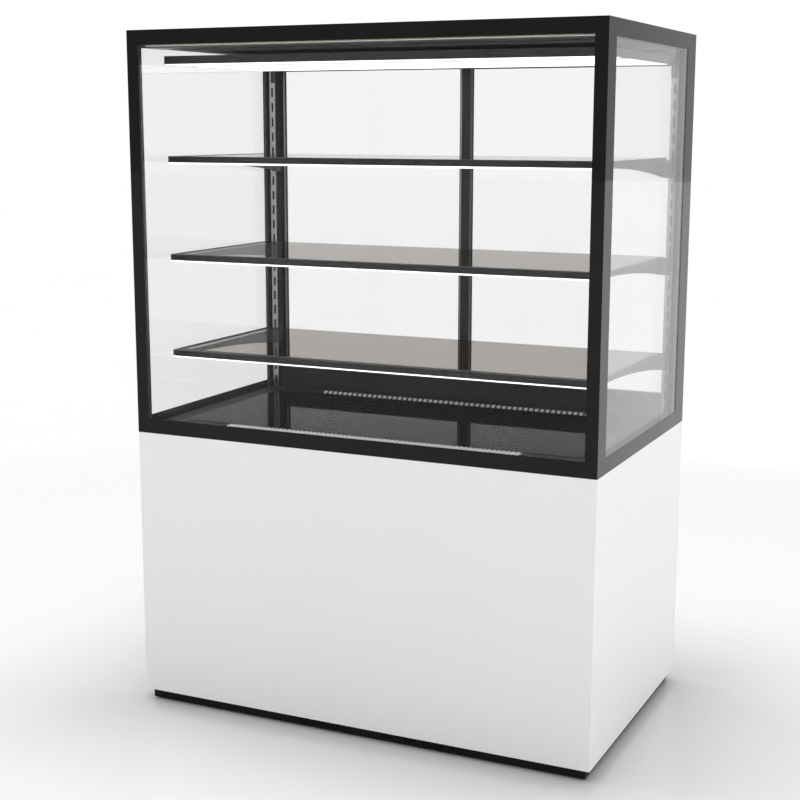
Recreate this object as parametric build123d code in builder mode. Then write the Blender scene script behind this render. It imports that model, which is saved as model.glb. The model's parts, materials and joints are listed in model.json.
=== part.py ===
from build123d import *
import math
import os

os.makedirs("parts", exist_ok=True)

# Heated display case: a square double glazed cabinet on a plain steel base.
# Frame: origin on the floor under the middle of the case, +Z up, the
# customer's side faces -Y, the sliding doors for the staff face +Y.
# All sizes in millimetres.

# ---- driving dimensions -------------------------------------------------
W = 1000.0              # overall width
D = 606.0               # overall depth
H = 1408.0              # overall height
HX = W / 2              # half width
HY = D / 2              # half depth
BASE_Z0 = 24.0          # underside of the steel base
BASE_Z1 = 590.0         # top of the steel base, foot of the glazing
PANEL_T = 2.0           # side cladding
FRONT_T = 3.0           # folded front cladding, over all thickness
TUBE = 30.0             # chassis tube
TUBE_T = 2.0
REAR_IN = 296.0         # rear face of the chassis

PANE = 5.0              # one glass pane
IGU = 18.0              # pane + gap + pane
SKIN = 0.4              # enamel border on the back of the outer pane
BORDER_SIDE = 24.0      # enamel on the front pane, left and right
BORDER_TOP = 29.5       # front pane
BORDER_TOP_S = 32.0     # side panes
BORDER_BOTTOM = 31.0
BORDER_BOTTOM_S = 30.0
BORDER_SF = 42.0        # enamel on a side pane, front edge
BORDER_SR = 63.0        # enamel on a side pane, rear edge
GX = HX - IGU           # inner face of the side glazing
GY = HY - IGU           # inner face of the front glazing

ROOF_T = 6.0
ROOF_Z = 1376.0         # underside of the roof lining
DECK_Z = 606.0          # top of the deck surround
PLATE_X, PLATE_Y0, PLATE_Y1, PLATE_T = 439.0, -212.0, 182.0, 5.0
GRILLE_X = 324.0        # half length of both air grilles
FG_Y0, FG_Y1 = -252.0, -216.0
RG_Y0, RG_Y1 = 184.0, 206.0

SHELF_X = 470.0         # half width of a shelf
SHELF_Y0 = -214.0       # front edge of a shelf
SHELF_Y1 = 190.0        # rear edge of the shelf glass
SHELF_H = 13.0          # height of the front profile
SHELF_GLASS = 6.0
SLOT_PITCH = 33.7
SHELF_Z = [1146.0, 1146.0 - 6 * SLOT_PITCH, 1146.0 - 12 * SLOT_PITCH]
LED_H = 3.8             # light profile under each front edge
HOOK_DROP = 18.0        # shelf underside down to the middle of its slot
SLOTS = [SHELF_Z[0] - HOOK_DROP + SLOT_PITCH * k for k in range(-15, 8)]
CANOPY_SLOT = SLOTS[-2]
CANOPY_Z0, CANOPY_Z1 = 1344.5, 1360.5

STRIP_Y0, STRIP_Y1 = 229.0, 232.0      # slotted strip
STRIP_X = 472.5                        # its centre line
STRIP_W = 14.0
POST_Y1 = 256.0                        # rear face of the upright
SILL_Y = 236.0                         # front face of the sill and header
SILL_Z = 658.0
HEAD_Z = 1364.0
BED_Z = 616.0           # floor of the door track, behind the sill upstand
BED_Y = 254.0
DOOR_Z0, DOOR_Z1 = 618.0, 1376.0
DOOR_W = 493.0
DOOR_T = 11.0
STILE = 20.0
PULL_D = 3.6            # how far a pull stands off its door
RAIL_B, RAIL_T = 28.0, 26.0
DOOR_IN_Y = 258.0       # front face of the inner (left) door
DOOR_OUT_Y = 273.0      # front face of the outer (right) door

FOOT_X, FOOT_Y0, FOOT_Y1 = 430.0, -240.0, 225.0
FAN_X, FAN_Y0, FAN_Z = 200.0, 162.0, 571.0
CTRL_X, CTRL_Z = -330.0, 525.0
SWITCH_X = [-245.0, -205.0]
SWITCH_Z = 525.0
SWITCH_PIVOT_Y = 295.0
ROCK = 12.0
GLAND_X, GLAND_Y = 380.0, 235.0


def block(x0, x1, y0, y1, z0, z1, mode=Mode.ADD):
    with Locations(((x0 + x1) / 2, (y0 + y1) / 2, (z0 + z1) / 2)):
        Box(abs(x1 - x0), abs(y1 - y0), abs(z1 - z0), mode=mode)


def rod_z(x, y, z0, z1, r, mode=Mode.ADD):
    with Locations((x, y, (z0 + z1) / 2)):
        Cylinder(r, z1 - z0, mode=mode)


def rod_y(x, z, y0, y1, r, mode=Mode.ADD):
    with Locations((x, (y0 + y1) / 2, z)):
        Cylinder(r, y1 - y0, rotation=(90, 0, 0), mode=mode)


# ==== steel base ==========================================================
with BuildPart() as base_pan:
    block(-498, 498, -300, REAR_IN, BASE_Z0, BASE_Z0 + 3)
    for sx in (-1, 1):
        for fy in (FOOT_Y0, FOOT_Y1):
            rod_z(sx * FOOT_X, fy, BASE_Z0 + 3, BASE_Z0 + 15, 11)
            rod_z(sx * FOOT_X, fy, BASE_Z0 - 1, BASE_Z0 + 16, 5.06, Mode.SUBTRACT)
    rod_z(GLAND_X, GLAND_Y, BASE_Z0 - 1, BASE_Z0 + 4, 8.0, Mode.SUBTRACT)
    # air intake slots under the machine space
    with Locations(*[(x, y, BASE_Z0 + 1.5) for x in range(-60, 241, 20) for y in (-150, -90, -30)]):
        Box(6, 44, 5, mode=Mode.SUBTRACT)
base_pan.part.label = "base_pan"
export_step(base_pan.part, "parts/base_pan.step")

with BuildPart() as base_frame:
    for sx in (-1, 1):
        for y0 in (-300.0, REAR_IN - TUBE):
            xa, xb = sorted((sx * 498, sx * (498 - TUBE)))
            block(xa, xb, y0, y0 + TUBE, BASE_Z0 + 3, 562)
            block(xa + TUBE_T, xb - TUBE_T, y0 + TUBE_T, y0 + TUBE - TUBE_T, BASE_Z0 + 2, 563, Mode.SUBTRACT)
base_posts = base_frame.part
with BuildPart() as base_rails_y:
    for y0 in (-300.0, REAR_IN - TUBE):
        block(-498, 498, y0, y0 + TUBE, 562, BASE_Z1)
        block(-499, 499, y0 + TUBE_T, y0 + TUBE - TUBE_T, 564, BASE_Z1 - 2, Mode.SUBTRACT)
with BuildPart() as base_rails_x:
    for sx in (-1, 1):
        xa, xb = sorted((sx * 498, sx * (498 - TUBE)))
        for z0, z1 in ((562, BASE_Z1), (490, 512)):
            block(xa, xb, -270, REAR_IN - TUBE, z0, z1)
            block(xa + TUBE_T, xb - TUBE_T, -271, REAR_IN - TUBE + 1, z0 + 2, z1 - 2, Mode.SUBTRACT)
with BuildPart() as base_bearers:
    for yc in (-120.0, 90.0):
        block(-468, 468, yc - 15, yc + 15, 492, 512)
        block(-469, 469, yc - 13, yc + 13, 494, 510, Mode.SUBTRACT)
chassis = Compound(children=[
    *base_posts.solids(), *base_rails_y.part.solids(),
    *base_rails_x.part.solids(), *base_bearers.part.solids()])
chassis.label = "base_frame"
export_step(chassis, "parts/base_frame.step")

with BuildPart() as front_panel:
    block(-HX, HX, -HY, -HY + FRONT_T, BASE_Z0, BASE_Z1)
    fillet(front_panel.edges().filter_by(Axis.Z).group_by(Axis.Y)[0], 1.5)
front_panel.part.label = "front_panel"
export_step(front_panel.part, "parts/front_panel.step")

for sx, name in ((-1, "side_panel_left"), (1, "side_panel_right")):
    with BuildPart() as side_panel:
        xa, xb = sorted((sx * HX, sx * (HX - PANEL_T)))
        block(xa, xb, -HY + FRONT_T, HY, BASE_Z0, BASE_Z1)
    side_panel.part.label = name
    export_step(side_panel.part, "parts/" + name + ".step")

COVER_Z1 = 455.0
SCREWS = [(sx * 483.0, z) for sx in (-1, 1) for z in (60.0, 240.0, 430.0, 475.0, 575.0)]
with BuildPart() as rear_service_cover:
    block(-497.5, 497.5, REAR_IN, REAR_IN + 2, BASE_Z0 + 3, COVER_Z1)
    # two fields of louvre slots
    with Locations(*[(x, REAR_IN + 1, 110 + 16 * k) for x in (-250, -150, 150, 250) for k in range(14)]):
        Box(80, 4, 5, mode=Mode.SUBTRACT)
    for x, z in SCREWS:
        if z < COVER_Z1:
            rod_y(x, z, REAR_IN - 1, REAR_IN + 3, 2.05, Mode.SUBTRACT)
rear_service_cover.part.label = "rear_service_cover"
export_step(rear_service_cover.part, "parts/rear_service_cover.step")

with BuildPart() as control_panel:
    block(-497.5, 497.5, REAR_IN, REAR_IN + 2, COVER_Z1 + 2, BASE_Z1 - 1)
    block(CTRL_X - 35.6, CTRL_X + 35.6, REAR_IN - 1, REAR_IN + 3, CTRL_Z - 14.6, CTRL_Z + 14.6, Mode.SUBTRACT)
    for x in SWITCH_X:
        block(x - 10.6, x + 10.6, REAR_IN - 1, REAR_IN + 3, SWITCH_Z - 9.1, SWITCH_Z + 9.1, Mode.SUBTRACT)
    for x, z in SCREWS:
        if z > COVER_Z1:
            rod_y(x, z, REAR_IN - 1, REAR_IN + 3, 2.05, Mode.SUBTRACT)
control_panel.part.label = "control_panel"
export_step(control_panel.part, "parts/control_panel.step")

with BuildPart() as panel_screws:
    for x, z in SCREWS:
        rod_y(x, z, REAR_IN, REAR_IN + 2.2, 2.0)
        rod_y(x, z, REAR_IN + 2, REAR_IN + 4.2, 4.2)
    with Locations(*[(x, REAR_IN + 4.2, z) for x, z in SCREWS]):
        Box(5.2, 2.0, 1.0, mode=Mode.SUBTRACT)
        Box(1.0, 2.0, 5.2, mode=Mode.SUBTRACT)
panel_screws.part.label = "panel_screws"
export_step(panel_screws.part, "parts/panel_screws.step")

# set-back plinth round the feet, slotted where the base takes in air
PL_X, PL_Y = 488.0, 291.0
with BuildPart() as plinth_front:
    block(-PL_X, PL_X, -PL_Y, -PL_Y + 2, 3, BASE_Z0)
    with Locations(*[(x, -PL_Y + 1, 15) for x in list(range(-120, -19, 8)) + list(range(64, 249, 8))]):
        Box(3.2, 4, 15, mode=Mode.SUBTRACT)
plinth_front.part.label = "plinth_front"
export_step(plinth_front.part, "parts/plinth_front.step")

with BuildPart() as plinth_sides:
    for sx in (-1, 1):
        xa, xb = sorted((sx * PL_X, sx * (PL_X - 2)))
        block(xa, xb, -PL_Y + 2, PL_Y - 2, 3, BASE_Z0)
with BuildPart() as plinth_rear:
    block(-PL_X, PL_X, PL_Y - 2, PL_Y, 3, BASE_Z0)
    block(GLAND_X - 16, GLAND_X + 16, PL_Y - 3, PL_Y + 1, 2, BASE_Z0 - 5, Mode.SUBTRACT)
group = Compound(children=[*plinth_sides.part.solids(), *plinth_rear.part.solids()])
group.label = "plinth_surround"
export_step(group, "parts/plinth_surround.step")

for name, fx, fy in (("levelling_foot_front_left", -FOOT_X, FOOT_Y0),
                     ("levelling_foot_front_right", FOOT_X, FOOT_Y0),
                     ("levelling_foot_rear_left", -FOOT_X, FOOT_Y1),
                     ("levelling_foot_rear_right", FOOT_X, FOOT_Y1)):
    with BuildPart() as levelling_foot:
        with BuildSketch(Plane.XZ.offset(-fy)):
            with BuildLine():
                Polyline((fx, 0), (fx + 24, 0), (fx + 25, 1.5), (fx + 25, 5), (fx + 12, 11), (fx, 11), (fx, 0))
            make_face()
        revolve(axis=Axis((fx, fy, 0), (0, 0, 1)))
        with BuildSketch(Plane.XY.offset(11)):
            with Locations((fx, fy)):
                RegularPolygon(9.5, 6)
        extrude(amount=8)
        rod_z(fx, fy, 19, 60, 5.0)
    levelling_foot.part.label = name
    export_step(levelling_foot.part, "parts/" + name + ".step")

# ==== machine space =======================================================
with BuildPart() as control_box:
    block(-400, -260, 120, 250, BASE_Z0 + 3, 109)
    fillet(control_box.edges().filter_by(Axis.Z), 3)
    block(-398.5, -261.5, 121.5, 248.5, BASE_Z0 + 4.5, 107.5, Mode.SUBTRACT)
control_box.part.label = "control_box"
export_step(control_box.part, "parts/control_box.step")

with BuildPart() as led_driver:
    block(-230, -60, 200, 250, BASE_Z0 + 3, 60)
    fillet(led_driver.edges().filter_by(Axis.X), 2)
    for sx in (-240.0, -60.0):
        block(sx, sx + 10, 206, 244, BASE_Z0 + 3, BASE_Z0 + 5)
led_driver.part.label = "led_driver"
export_step(led_driver.part, "parts/led_driver.step")

with BuildPart() as cable_gland:
    with BuildSketch(Plane.XY.offset(BASE_Z0 - 14)):
        with Locations((GLAND_X, GLAND_Y)):
            RegularPolygon(12, 6)
    extrude(amount=8)
    rod_z(GLAND_X, GLAND_Y, BASE_Z0 - 6, BASE_Z0, 11)
    rod_z(GLAND_X, GLAND_Y, BASE_Z0, BASE_Z0 + 3, 8.0)
    with BuildSketch(Plane.XY.offset(BASE_Z0 + 3)):
        with Locations((GLAND_X, GLAND_Y)):
            RegularPolygon(12, 6)
    extrude(amount=6)
    rod_z(GLAND_X, GLAND_Y, BASE_Z0 - 15, BASE_Z0 + 10, 4.0, Mode.SUBTRACT)
cable_gland.part.label = "cable_gland"
export_step(cable_gland.part, "parts/cable_gland.step")

# ==== controls on the staff side =========================================
KEYS = (("key_set", CTRL_X - 2.0), ("key_down", CTRL_X + 12.0), ("key_up", CTRL_X + 26.0))
BEZEL_Y = REAR_IN + 2
with BuildPart() as controller:
    block(CTRL_X - 35.3, CTRL_X + 35.3, 238, BEZEL_Y, CTRL_Z - 14.3, CTRL_Z + 14.3)
    with BuildSketch(Plane.XZ.offset(-BEZEL_Y)):
        with Locations((CTRL_X, CTRL_Z)):
            RectangleRounded(78, 36, 3)
    extrude(amount=-3.0)
    # display window, sunk 0.6
    block(CTRL_X - 34, CTRL_X - 9, BEZEL_Y + 2.4, BEZEL_Y + 4, CTRL_Z - 9, CTRL_Z + 9, Mode.SUBTRACT)
    for n, x in KEYS:
        block(x - 4.6, x + 4.6, BEZEL_Y - 0.6, BEZEL_Y + 4, CTRL_Z - 6.6, CTRL_Z + 6.6, Mode.SUBTRACT)
controller.part.label = "controller"
export_step(controller.part, "parts/controller.step")

for name, x in KEYS:
    with BuildPart() as key:
        block(x - 4.3, x + 4.3, BEZEL_Y + 0.7, BEZEL_Y + 4.2, CTRL_Z - 6.3, CTRL_Z + 6.3)
        fillet(key.edges().filter_by(Axis.Y), 1.2)
        fillet(key.faces().sort_by(Axis.Y)[-1].edges(), 0.5)
    key.part.label = name
    export_step(key.part, "parts/" + name + ".step")

with BuildPart() as switch_housings:
    for x in SWITCH_X:
        block(x - 10.4, x + 10.4, 272, BEZEL_Y, SWITCH_Z - 8.9, SWITCH_Z + 8.9)
        block(x - 12.5, x + 12.5, BEZEL_Y, BEZEL_Y + 2, SWITCH_Z - 11, SWITCH_Z + 11)
        block(x - 8.3, x + 8.3, 289.5, BEZEL_Y + 3, SWITCH_Z - 6.6, SWITCH_Z + 6.6, Mode.SUBTRACT)
        rod_x0, rod_x1 = x - 8.35, x + 8.35
        for s in (-1, 1):
            with Locations((x + s * 7.7, SWITCH_PIVOT_Y, SWITCH_Z)):
                Cylinder(1.0, 1.3, rotation=(0, 90, 0))
switch_housings.part.label = "switch_housings"
export_step(switch_housings.part, "parts/switch_housings.step")

for name, x in (("power_rocker", SWITCH_X[0]), ("light_rocker", SWITCH_X[1])):
    with BuildPart() as rocker:
        with BuildSketch(Plane.YZ.offset(x - 8.0)):
            with BuildLine():
                Polyline((SWITCH_PIVOT_Y - 3, SWITCH_Z - 4), (SWITCH_PIVOT_Y + 5.4, SWITCH_Z - 5.2),
                         (SWITCH_PIVOT_Y + 4.4, SWITCH_Z), (SWITCH_PIVOT_Y + 5.4, SWITCH_Z + 5.2),
                         (SWITCH_PIVOT_Y - 3, SWITCH_Z + 4), (SWITCH_PIVOT_Y - 3, SWITCH_Z - 4))
            make_face()
        extrude(amount=16)
        for s in (-1, 1):
            with Locations((x + s * 7.5, SWITCH_PIVOT_Y, SWITCH_Z)):
                Cylinder(1.06, 1.2, rotation=(0, 90, 0), mode=Mode.SUBTRACT)
    tilted = rocker.part.rotate(Axis((x, SWITCH_PIVOT_Y, SWITCH_Z), (1, 0, 0)), -ROCK)
    tilted.label = name
    export_step(tilted, "parts/" + name + ".step")

# ==== heating, under the deck ============================================
WX, WY0, WY1, WZ0 = 432.0, -197.0, 162.0, 542.0
with BuildPart() as heat_well:
    block(-WX, WX, WY0, WY1, WZ0, 601)
    block(-450, 450, -215, 185, 600, 604)
    block(-PLATE_X - 1, PLATE_X + 1, PLATE_Y0 - 1, PLATE_Y1 + 1, DECK_Z + 1 - PLATE_T, 605, Mode.SUBTRACT)
    block(-WX + 2, WX - 2, WY0 + 2, WY1 - 2, WZ0 + 2, 606, Mode.SUBTRACT)
    for sx in (-1, 1):
        rod_y(sx * FAN_X, FAN_Z, WY1 - 3, WY1 + 1, 23, Mode.SUBTRACT)
    # outlet slots to the front duct
    with Locations(*[(x, WY0 + 1, 571) for x in range(-300, 301, 60)]):
        Box(40, 4, 30, mode=Mode.SUBTRACT)
heat_well.part.label = "heat_well"
export_step(heat_well.part, "parts/heat_well.step")

with BuildPart() as air_ducts:
    block(-332, 332, -256, WY0, 545, 547)
    block(-332, 332, -256, -254, 547, 604)
    for sx in (-1, 1):
        xa, xb = sorted((sx * 332, sx * 330))
        block(xa, xb, -254, WY0, 547, 600)
        block(xa, xb, -254, -215, 600, 604)
    # return duct behind the fans
    block(-332, 332, 177, 214, 545, 547)
    block(-332, 332, 212, 214, 547, 604)
    block(-332, 332, 177, 179, 547, 600)
    for sx in (-1, 1):
        xa, xb = sorted((sx * 332, sx * 330))
        block(xa, xb, 179, 212, 547, 600)
        block(xa, xb, 185, 212, 600, 604)
        rod_y(sx * FAN_X, FAN_Z, 176, 180, 23, Mode.SUBTRACT)
group = Compound(children=[*air_ducts.part.solids()])
group.label = "air_ducts"
export_step(group, "parts/air_ducts.step")

with BuildPart() as insulation:
    block(-428, 428, -193, 158, 512, WZ0)
    fillet(insulation.edges().filter_by(Axis.Z), 6)
    # roof slab between lining and roof panel
    block(-GX, GX, -GY, SILL_Y, ROOF_Z + 2, H - ROOF_T)
group = Compound(children=[*insulation.part.solids()])
group.label = "insulation"
export_step(group, "parts/insulation.step")

with BuildPart() as heating_elements:
    for yc in (-130.0, -20.0, 90.0):
        with BuildLine() as hairpin:
            l1 = Line((-430, yc - 28, 566), (372, yc - 28, 566))
            l2 = ThreePointArc((372, yc - 28, 566), (400, yc, 566), (372, yc + 28, 566))
            l3 = Line((372, yc + 28, 566), (-430, yc + 28, 566))
        with BuildSketch(Plane(origin=(-430, yc - 28, 566), z_dir=(1, 0, 0))):
            Circle(4)
        sweep(path=hairpin.wires()[0])
heating_elements.part.label = "heating_elements"
export_step(heating_elements.part, "parts/heating_elements.step")

with BuildPart() as fan_frames:
    for sx in (-1, 1):
        cx = sx * FAN_X
        block(cx - 25, cx + 25, FAN_Y0, FAN_Y0 + 15, FAN_Z - 25, FAN_Z + 25)
        rod_y(cx, FAN_Z, FAN_Y0 - 1, FAN_Y0 + 16, 23.5, Mode.SUBTRACT)
        rod_y(cx, FAN_Z, FAN_Y0 + 11, FAN_Y0 + 15, 10)
        with BuildSketch(Plane.XZ.offset(-(FAN_Y0 + 15))):
            for a in (30, 150, 270):
                with Locations((cx + 16.6 * math.cos(math.radians(a)), FAN_Z + 16.6 * math.sin(math.radians(a)))):
                    Rectangle(15.2, 3, rotation=a)
        extrude(amount=2.5)
        rod_y(cx, FAN_Z, FAN_Y0 + 3, FAN_Y0 + 11.5, 1.5)
fan_frames.part.label = "fan_frames"
export_step(fan_frames.part, "parts/fan_frames.step")

for sx, name in ((-1, "fan_impeller_left"), (1, "fan_impeller_right")):
    cx = sx * FAN_X
    with BuildPart() as impeller:
        rod_y(cx, FAN_Z, FAN_Y0 + 1.5, FAN_Y0 + 10.2, 9)
        fillet(impeller.faces().sort_by(Axis.Y)[0].edges(), 1.5)
        for k in range(7):
            a = math.radians(k * 360 / 7)
            spoke = Plane(origin=(cx + 8.5 * math.cos(a), FAN_Y0 + 5.9, FAN_Z + 8.5 * math.sin(a)),
                          x_dir=(-math.sin(a), 0, math.cos(a)),
                          z_dir=(math.cos(a), 0, math.sin(a)))
            with BuildSketch(spoke):
                Rectangle(9, 1.1, rotation=38)
            extrude(amount=13)
        rod_y(cx, FAN_Z, FAN_Y0 + 2.6, FAN_Y0 + 11, 1.56, Mode.SUBTRACT)
    impeller.part.label = name
    export_step(impeller.part, "parts/" + name + ".step")

# ==== deck ================================================================
with BuildPart() as deck_surround:
    block(-GX, GX, -GY, SILL_Y, DECK_Z - 2, DECK_Z)
    # down-turned edges that stand on the chassis
    for sx in (-1, 1):
        xa, xb = sorted((sx * GX, sx * (GX - 2)))
        block(xa, xb, -GY, SILL_Y, BASE_Z1, DECK_Z - 2)
    block(-GX, GX, -GY, -GY + 2, BASE_Z1, DECK_Z - 2)
    block(-GX, GX, SILL_Y - 2, SILL_Y, BASE_Z1, DECK_Z - 2)
    block(-PLATE_X - 1, PLATE_X + 1, PLATE_Y0 - 1, PLATE_Y1 + 1, DECK_Z - 3, DECK_Z + 1, Mode.SUBTRACT)
    block(-GRILLE_X, GRILLE_X, FG_Y0, FG_Y1, DECK_Z - 3, DECK_Z + 1, Mode.SUBTRACT)
    # rear air slots
    with Locations(*[(-318.75 + 12.75 * k, 195, DECK_Z - 1) for k in range(51)]):
        Box(9, 9, 4, mode=Mode.SUBTRACT)
deck_surround.part.label = "deck_surround"
export_step(deck_surround.part, "parts/deck_surround.step")

with BuildPart() as hot_plate:
    block(-PLATE_X, PLATE_X, PLATE_Y0, PLATE_Y1, DECK_Z + 1 - PLATE_T, DECK_Z + 1)
    fillet(hot_plate.edges().filter_by(Axis.Z), 3)
    chamfer(hot_plate.faces().sort_by(Axis.Z)[-1].edges(), 0.6)
hot_plate.part.label = "hot_plate"
export_step(hot_plate.part, "parts/hot_plate.step")

with BuildPart() as air_grilles:
    block(-GRILLE_X, GRILLE_X, FG_Y0, FG_Y1, DECK_Z - 2, DECK_Z)
    with Locations(*[(-318.5 + 9.8 * k, y, DECK_Z - 1) for k in range(66) for y in (-245, -238, -231, -224)]):
        Box(6.4, 3.2, 4, mode=Mode.SUBTRACT)
    block(-GRILLE_X, GRILLE_X, 190, 200, DECK_Z - 4, DECK_Z - 2)
    with Locations(*[(-318.75 + 12.75 * k, 195, DECK_Z - 3) for k in range(51)]):
        Box(6, 3, 4, mode=Mode.SUBTRACT)
group = Compound(children=[*air_grilles.part.solids()])
group.label = "air_grilles"
export_step(group, "parts/air_grilles.step")

# ==== glazing =============================================================
IN_TOP = H - ROOF_T        # top of the inner panes and of the enamel
with BuildPart() as front_outer:
    with BuildSketch(Plane.XY.offset(BASE_Z1)):
        Polygon((-HX, -HY), (HX, -HY), (HX - PANE, -HY + PANE), (-HX + PANE, -HY + PANE), align=None)
    extrude(amount=H - BASE_Z1)
with BuildPart() as front_inner:
    block(-GX, GX, -GY - PANE, -GY, BASE_Z1, IN_TOP)
group = Compound(children=[*front_outer.part.solids(), *front_inner.part.solids()])
group.label = "front_glass"
export_step(group, "parts/front_glass.step")

SIDE_IN_Y1 = 240.0
for sx, name in ((-1, "side_glass_left"), (1, "side_glass_right")):
    with BuildPart() as side_outer:
        with BuildSketch(Plane.XY.offset(BASE_Z1)):
            Polygon((sx * HX, -HY), (sx * HX, HY), (sx * (HX - PANE), HY), (sx * (HX - PANE), -HY + PANE), align=None)
        extrude(amount=H - BASE_Z1)
    with BuildPart() as side_inner:
        xa, xb = sorted((sx * GX, sx * (GX + PANE)))
        block(xa, xb, -GY - PANE, SIDE_IN_Y1, BASE_Z1, IN_TOP)
    group = Compound(children=[*side_outer.part.solids(), *side_inner.part.solids()])
    group.label = name
    export_step(group, "parts/" + name + ".step")

# black enamel borders, printed on the back of the outer panes
OX = HX - PANE
OY = HY - PANE
with BuildPart() as border_front:
    block(-OX + SKIN, OX - SKIN, -OY, -OY + SKIN, BASE_Z1, H)
    block(-HX + BORDER_SIDE, HX - BORDER_SIDE, -OY - 1, -OY + 1, BASE_Z1 + BORDER_BOTTOM, H - BORDER_TOP, Mode.SUBTRACT)
borders = [*border_front.part.solids()]
for sx in (-1, 1):
    with BuildPart() as border_side:
        xa, xb = sorted((sx * OX, sx * (OX - SKIN)))
        block(xa, xb, -OY, HY, BASE_Z1, H)
        block(xa - 1, xb + 1, -HY + BORDER_SF, HY - BORDER_SR, BASE_Z1 + BORDER_BOTTOM_S, H - BORDER_TOP_S, Mode.SUBTRACT)
    borders += border_side.part.solids()
group = Compound(children=borders)
group.label = "glass_borders"
export_step(group, "parts/glass_borders.step")

# spacer bars between the panes
SP = 12.0
SP_REAR = 18.0
SY0, SY1 = -OY + SKIN, -GY - PANE
SX0, SX1 = GX + PANE, OX - SKIN
with BuildPart() as spacers:
    block(-OX + SKIN, OX - SKIN, SY0, SY1, BASE_Z1, BASE_Z1 + SP)
    block(-OX + SKIN, OX - SKIN, SY0, SY1, IN_TOP - SP, IN_TOP)
    for sx in (-1, 1):
        xa, xb = sorted((sx * (OX - SKIN), sx * (OX - SKIN - SP)))
        block(xa, xb, SY0, SY1, BASE_Z1 + SP, IN_TOP - SP)
spacer_solids = [*spacers.part.solids()]
for sx in (-1, 1):
    with BuildPart() as spacer_side:
        xa, xb = sorted((sx * SX0, sx * SX1))
        block(xa, xb, SY1, SIDE_IN_Y1, BASE_Z1, BASE_Z1 + SP)
        block(xa, xb, SY1, SIDE_IN_Y1, IN_TOP - SP, IN_TOP)
        block(xa, xb, SY1, SY1 + SP, BASE_Z1 + SP, IN_TOP - SP)
        block(xa, xb, SIDE_IN_Y1 - SP_REAR, SIDE_IN_Y1, BASE_Z1 + SP, IN_TOP - SP)
    spacer_solids += spacer_side.part.solids()
group = Compound(children=spacer_solids)
group.label = "glass_spacers"
export_step(group, "parts/glass_spacers.step")

# ==== roof ================================================================
with BuildPart() as roof_panel:
    block(-OX + SKIN, OX - SKIN, -OY + SKIN, HY, IN_TOP, H)
roof_panel.part.label = "roof_panel"
export_step(roof_panel.part, "parts/roof_panel.step")

with BuildPart() as roof_liner:
    block(-GX, GX, -GY, 229, ROOF_Z, ROOF_Z + 2)
    # stiffening bead along the front edge
    block(-GX, GX, -GY, -GY + 6, ROOF_Z - 3, ROOF_Z)
roof_liner.part.label = "roof_liner"
export_step(roof_liner.part, "parts/roof_liner.step")

# ==== staff side: uprights, tracks, doors =================================
with BuildPart() as rear_posts:
    for sx in (-1, 1):
        xa, xb = sorted((sx * 464, sx * GX))
        block(xa, xb, STRIP_Y1, POST_Y1, DECK_Z, ROOF_Z + 2)
        xa, xb = sorted((sx * GX, sx * (OX - SKIN)))
        block(xa, xb, SIDE_IN_Y1, HY, BASE_Z1, IN_TOP)
        # channel behind the slotted strip that takes the hooks
        xa, xb = sorted((sx * (STRIP_X - 4), sx * (STRIP_X + 4)))
        block(xa, xb, STRIP_Y1 - 1, STRIP_Y1 + 15, DECK_Z - 1, ROOF_Z + 3, Mode.SUBTRACT)
rear_posts.part.label = "rear_posts"
export_step(rear_posts.part, "parts/rear_posts.step")

with BuildPart() as header_track:
    block(-463.9, 463.9, SILL_Y, POST_Y1, HEAD_Z, ROOF_Z + 2)
    block(-GX, GX, POST_Y1, HY, HEAD_Z, IN_TOP)
    block(-GX, GX, SILL_Y, POST_Y1, ROOF_Z + 2, IN_TOP)
    for y in (DOOR_IN_Y, DOOR_OUT_Y):
        block(-GX - 1, GX + 1, y - 1, y + DOOR_T + 1, HEAD_Z - 1, HEAD_Z + 26, Mode.SUBTRACT)
header_track.part.label = "header_track"
export_step(header_track.part, "parts/header_track.step")

with BuildPart() as sill_track:
    block(-463.9, 463.9, SILL_Y, BED_Y, DECK_Z, SILL_Z)
    fillet(sill_track.edges().filter_by(Axis.X).group_by(Axis.Z)[-1].sort_by(Axis.Y)[0], 3)
    block(-463.9, 463.9, BED_Y, POST_Y1, DECK_Z, BED_Z)
    block(-GX, GX, POST_Y1, HY, DECK_Z, BED_Z)
    block(-GX, GX, SILL_Y, HY, BASE_Z1, DECK_Z)
    for y in (DOOR_IN_Y, DOOR_OUT_Y):
        block(-GX - 1, GX + 1, y + 1.5, y + DOOR_T - 1.5, BED_Z - 10, BED_Z + 1, Mode.SUBTRACT)
sill_track.part.label = "sill_track"
export_step(sill_track.part, "parts/sill_track.step")

with BuildPart() as slotted_strips:
    for sx in (-1, 1):
        block(sx * STRIP_X - STRIP_W / 2, sx * STRIP_X + STRIP_W / 2, STRIP_Y0, STRIP_Y1, DECK_Z, ROOF_Z)
        with Locations(*[(sx * STRIP_X, (STRIP_Y0 + STRIP_Y1) / 2, z) for z in SLOTS]):
            Box(4.5, 6, 20, mode=Mode.SUBTRACT)
slotted_strips.part.label = "slotted_strips"
export_step(slotted_strips.part, "parts/slotted_strips.step")

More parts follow.
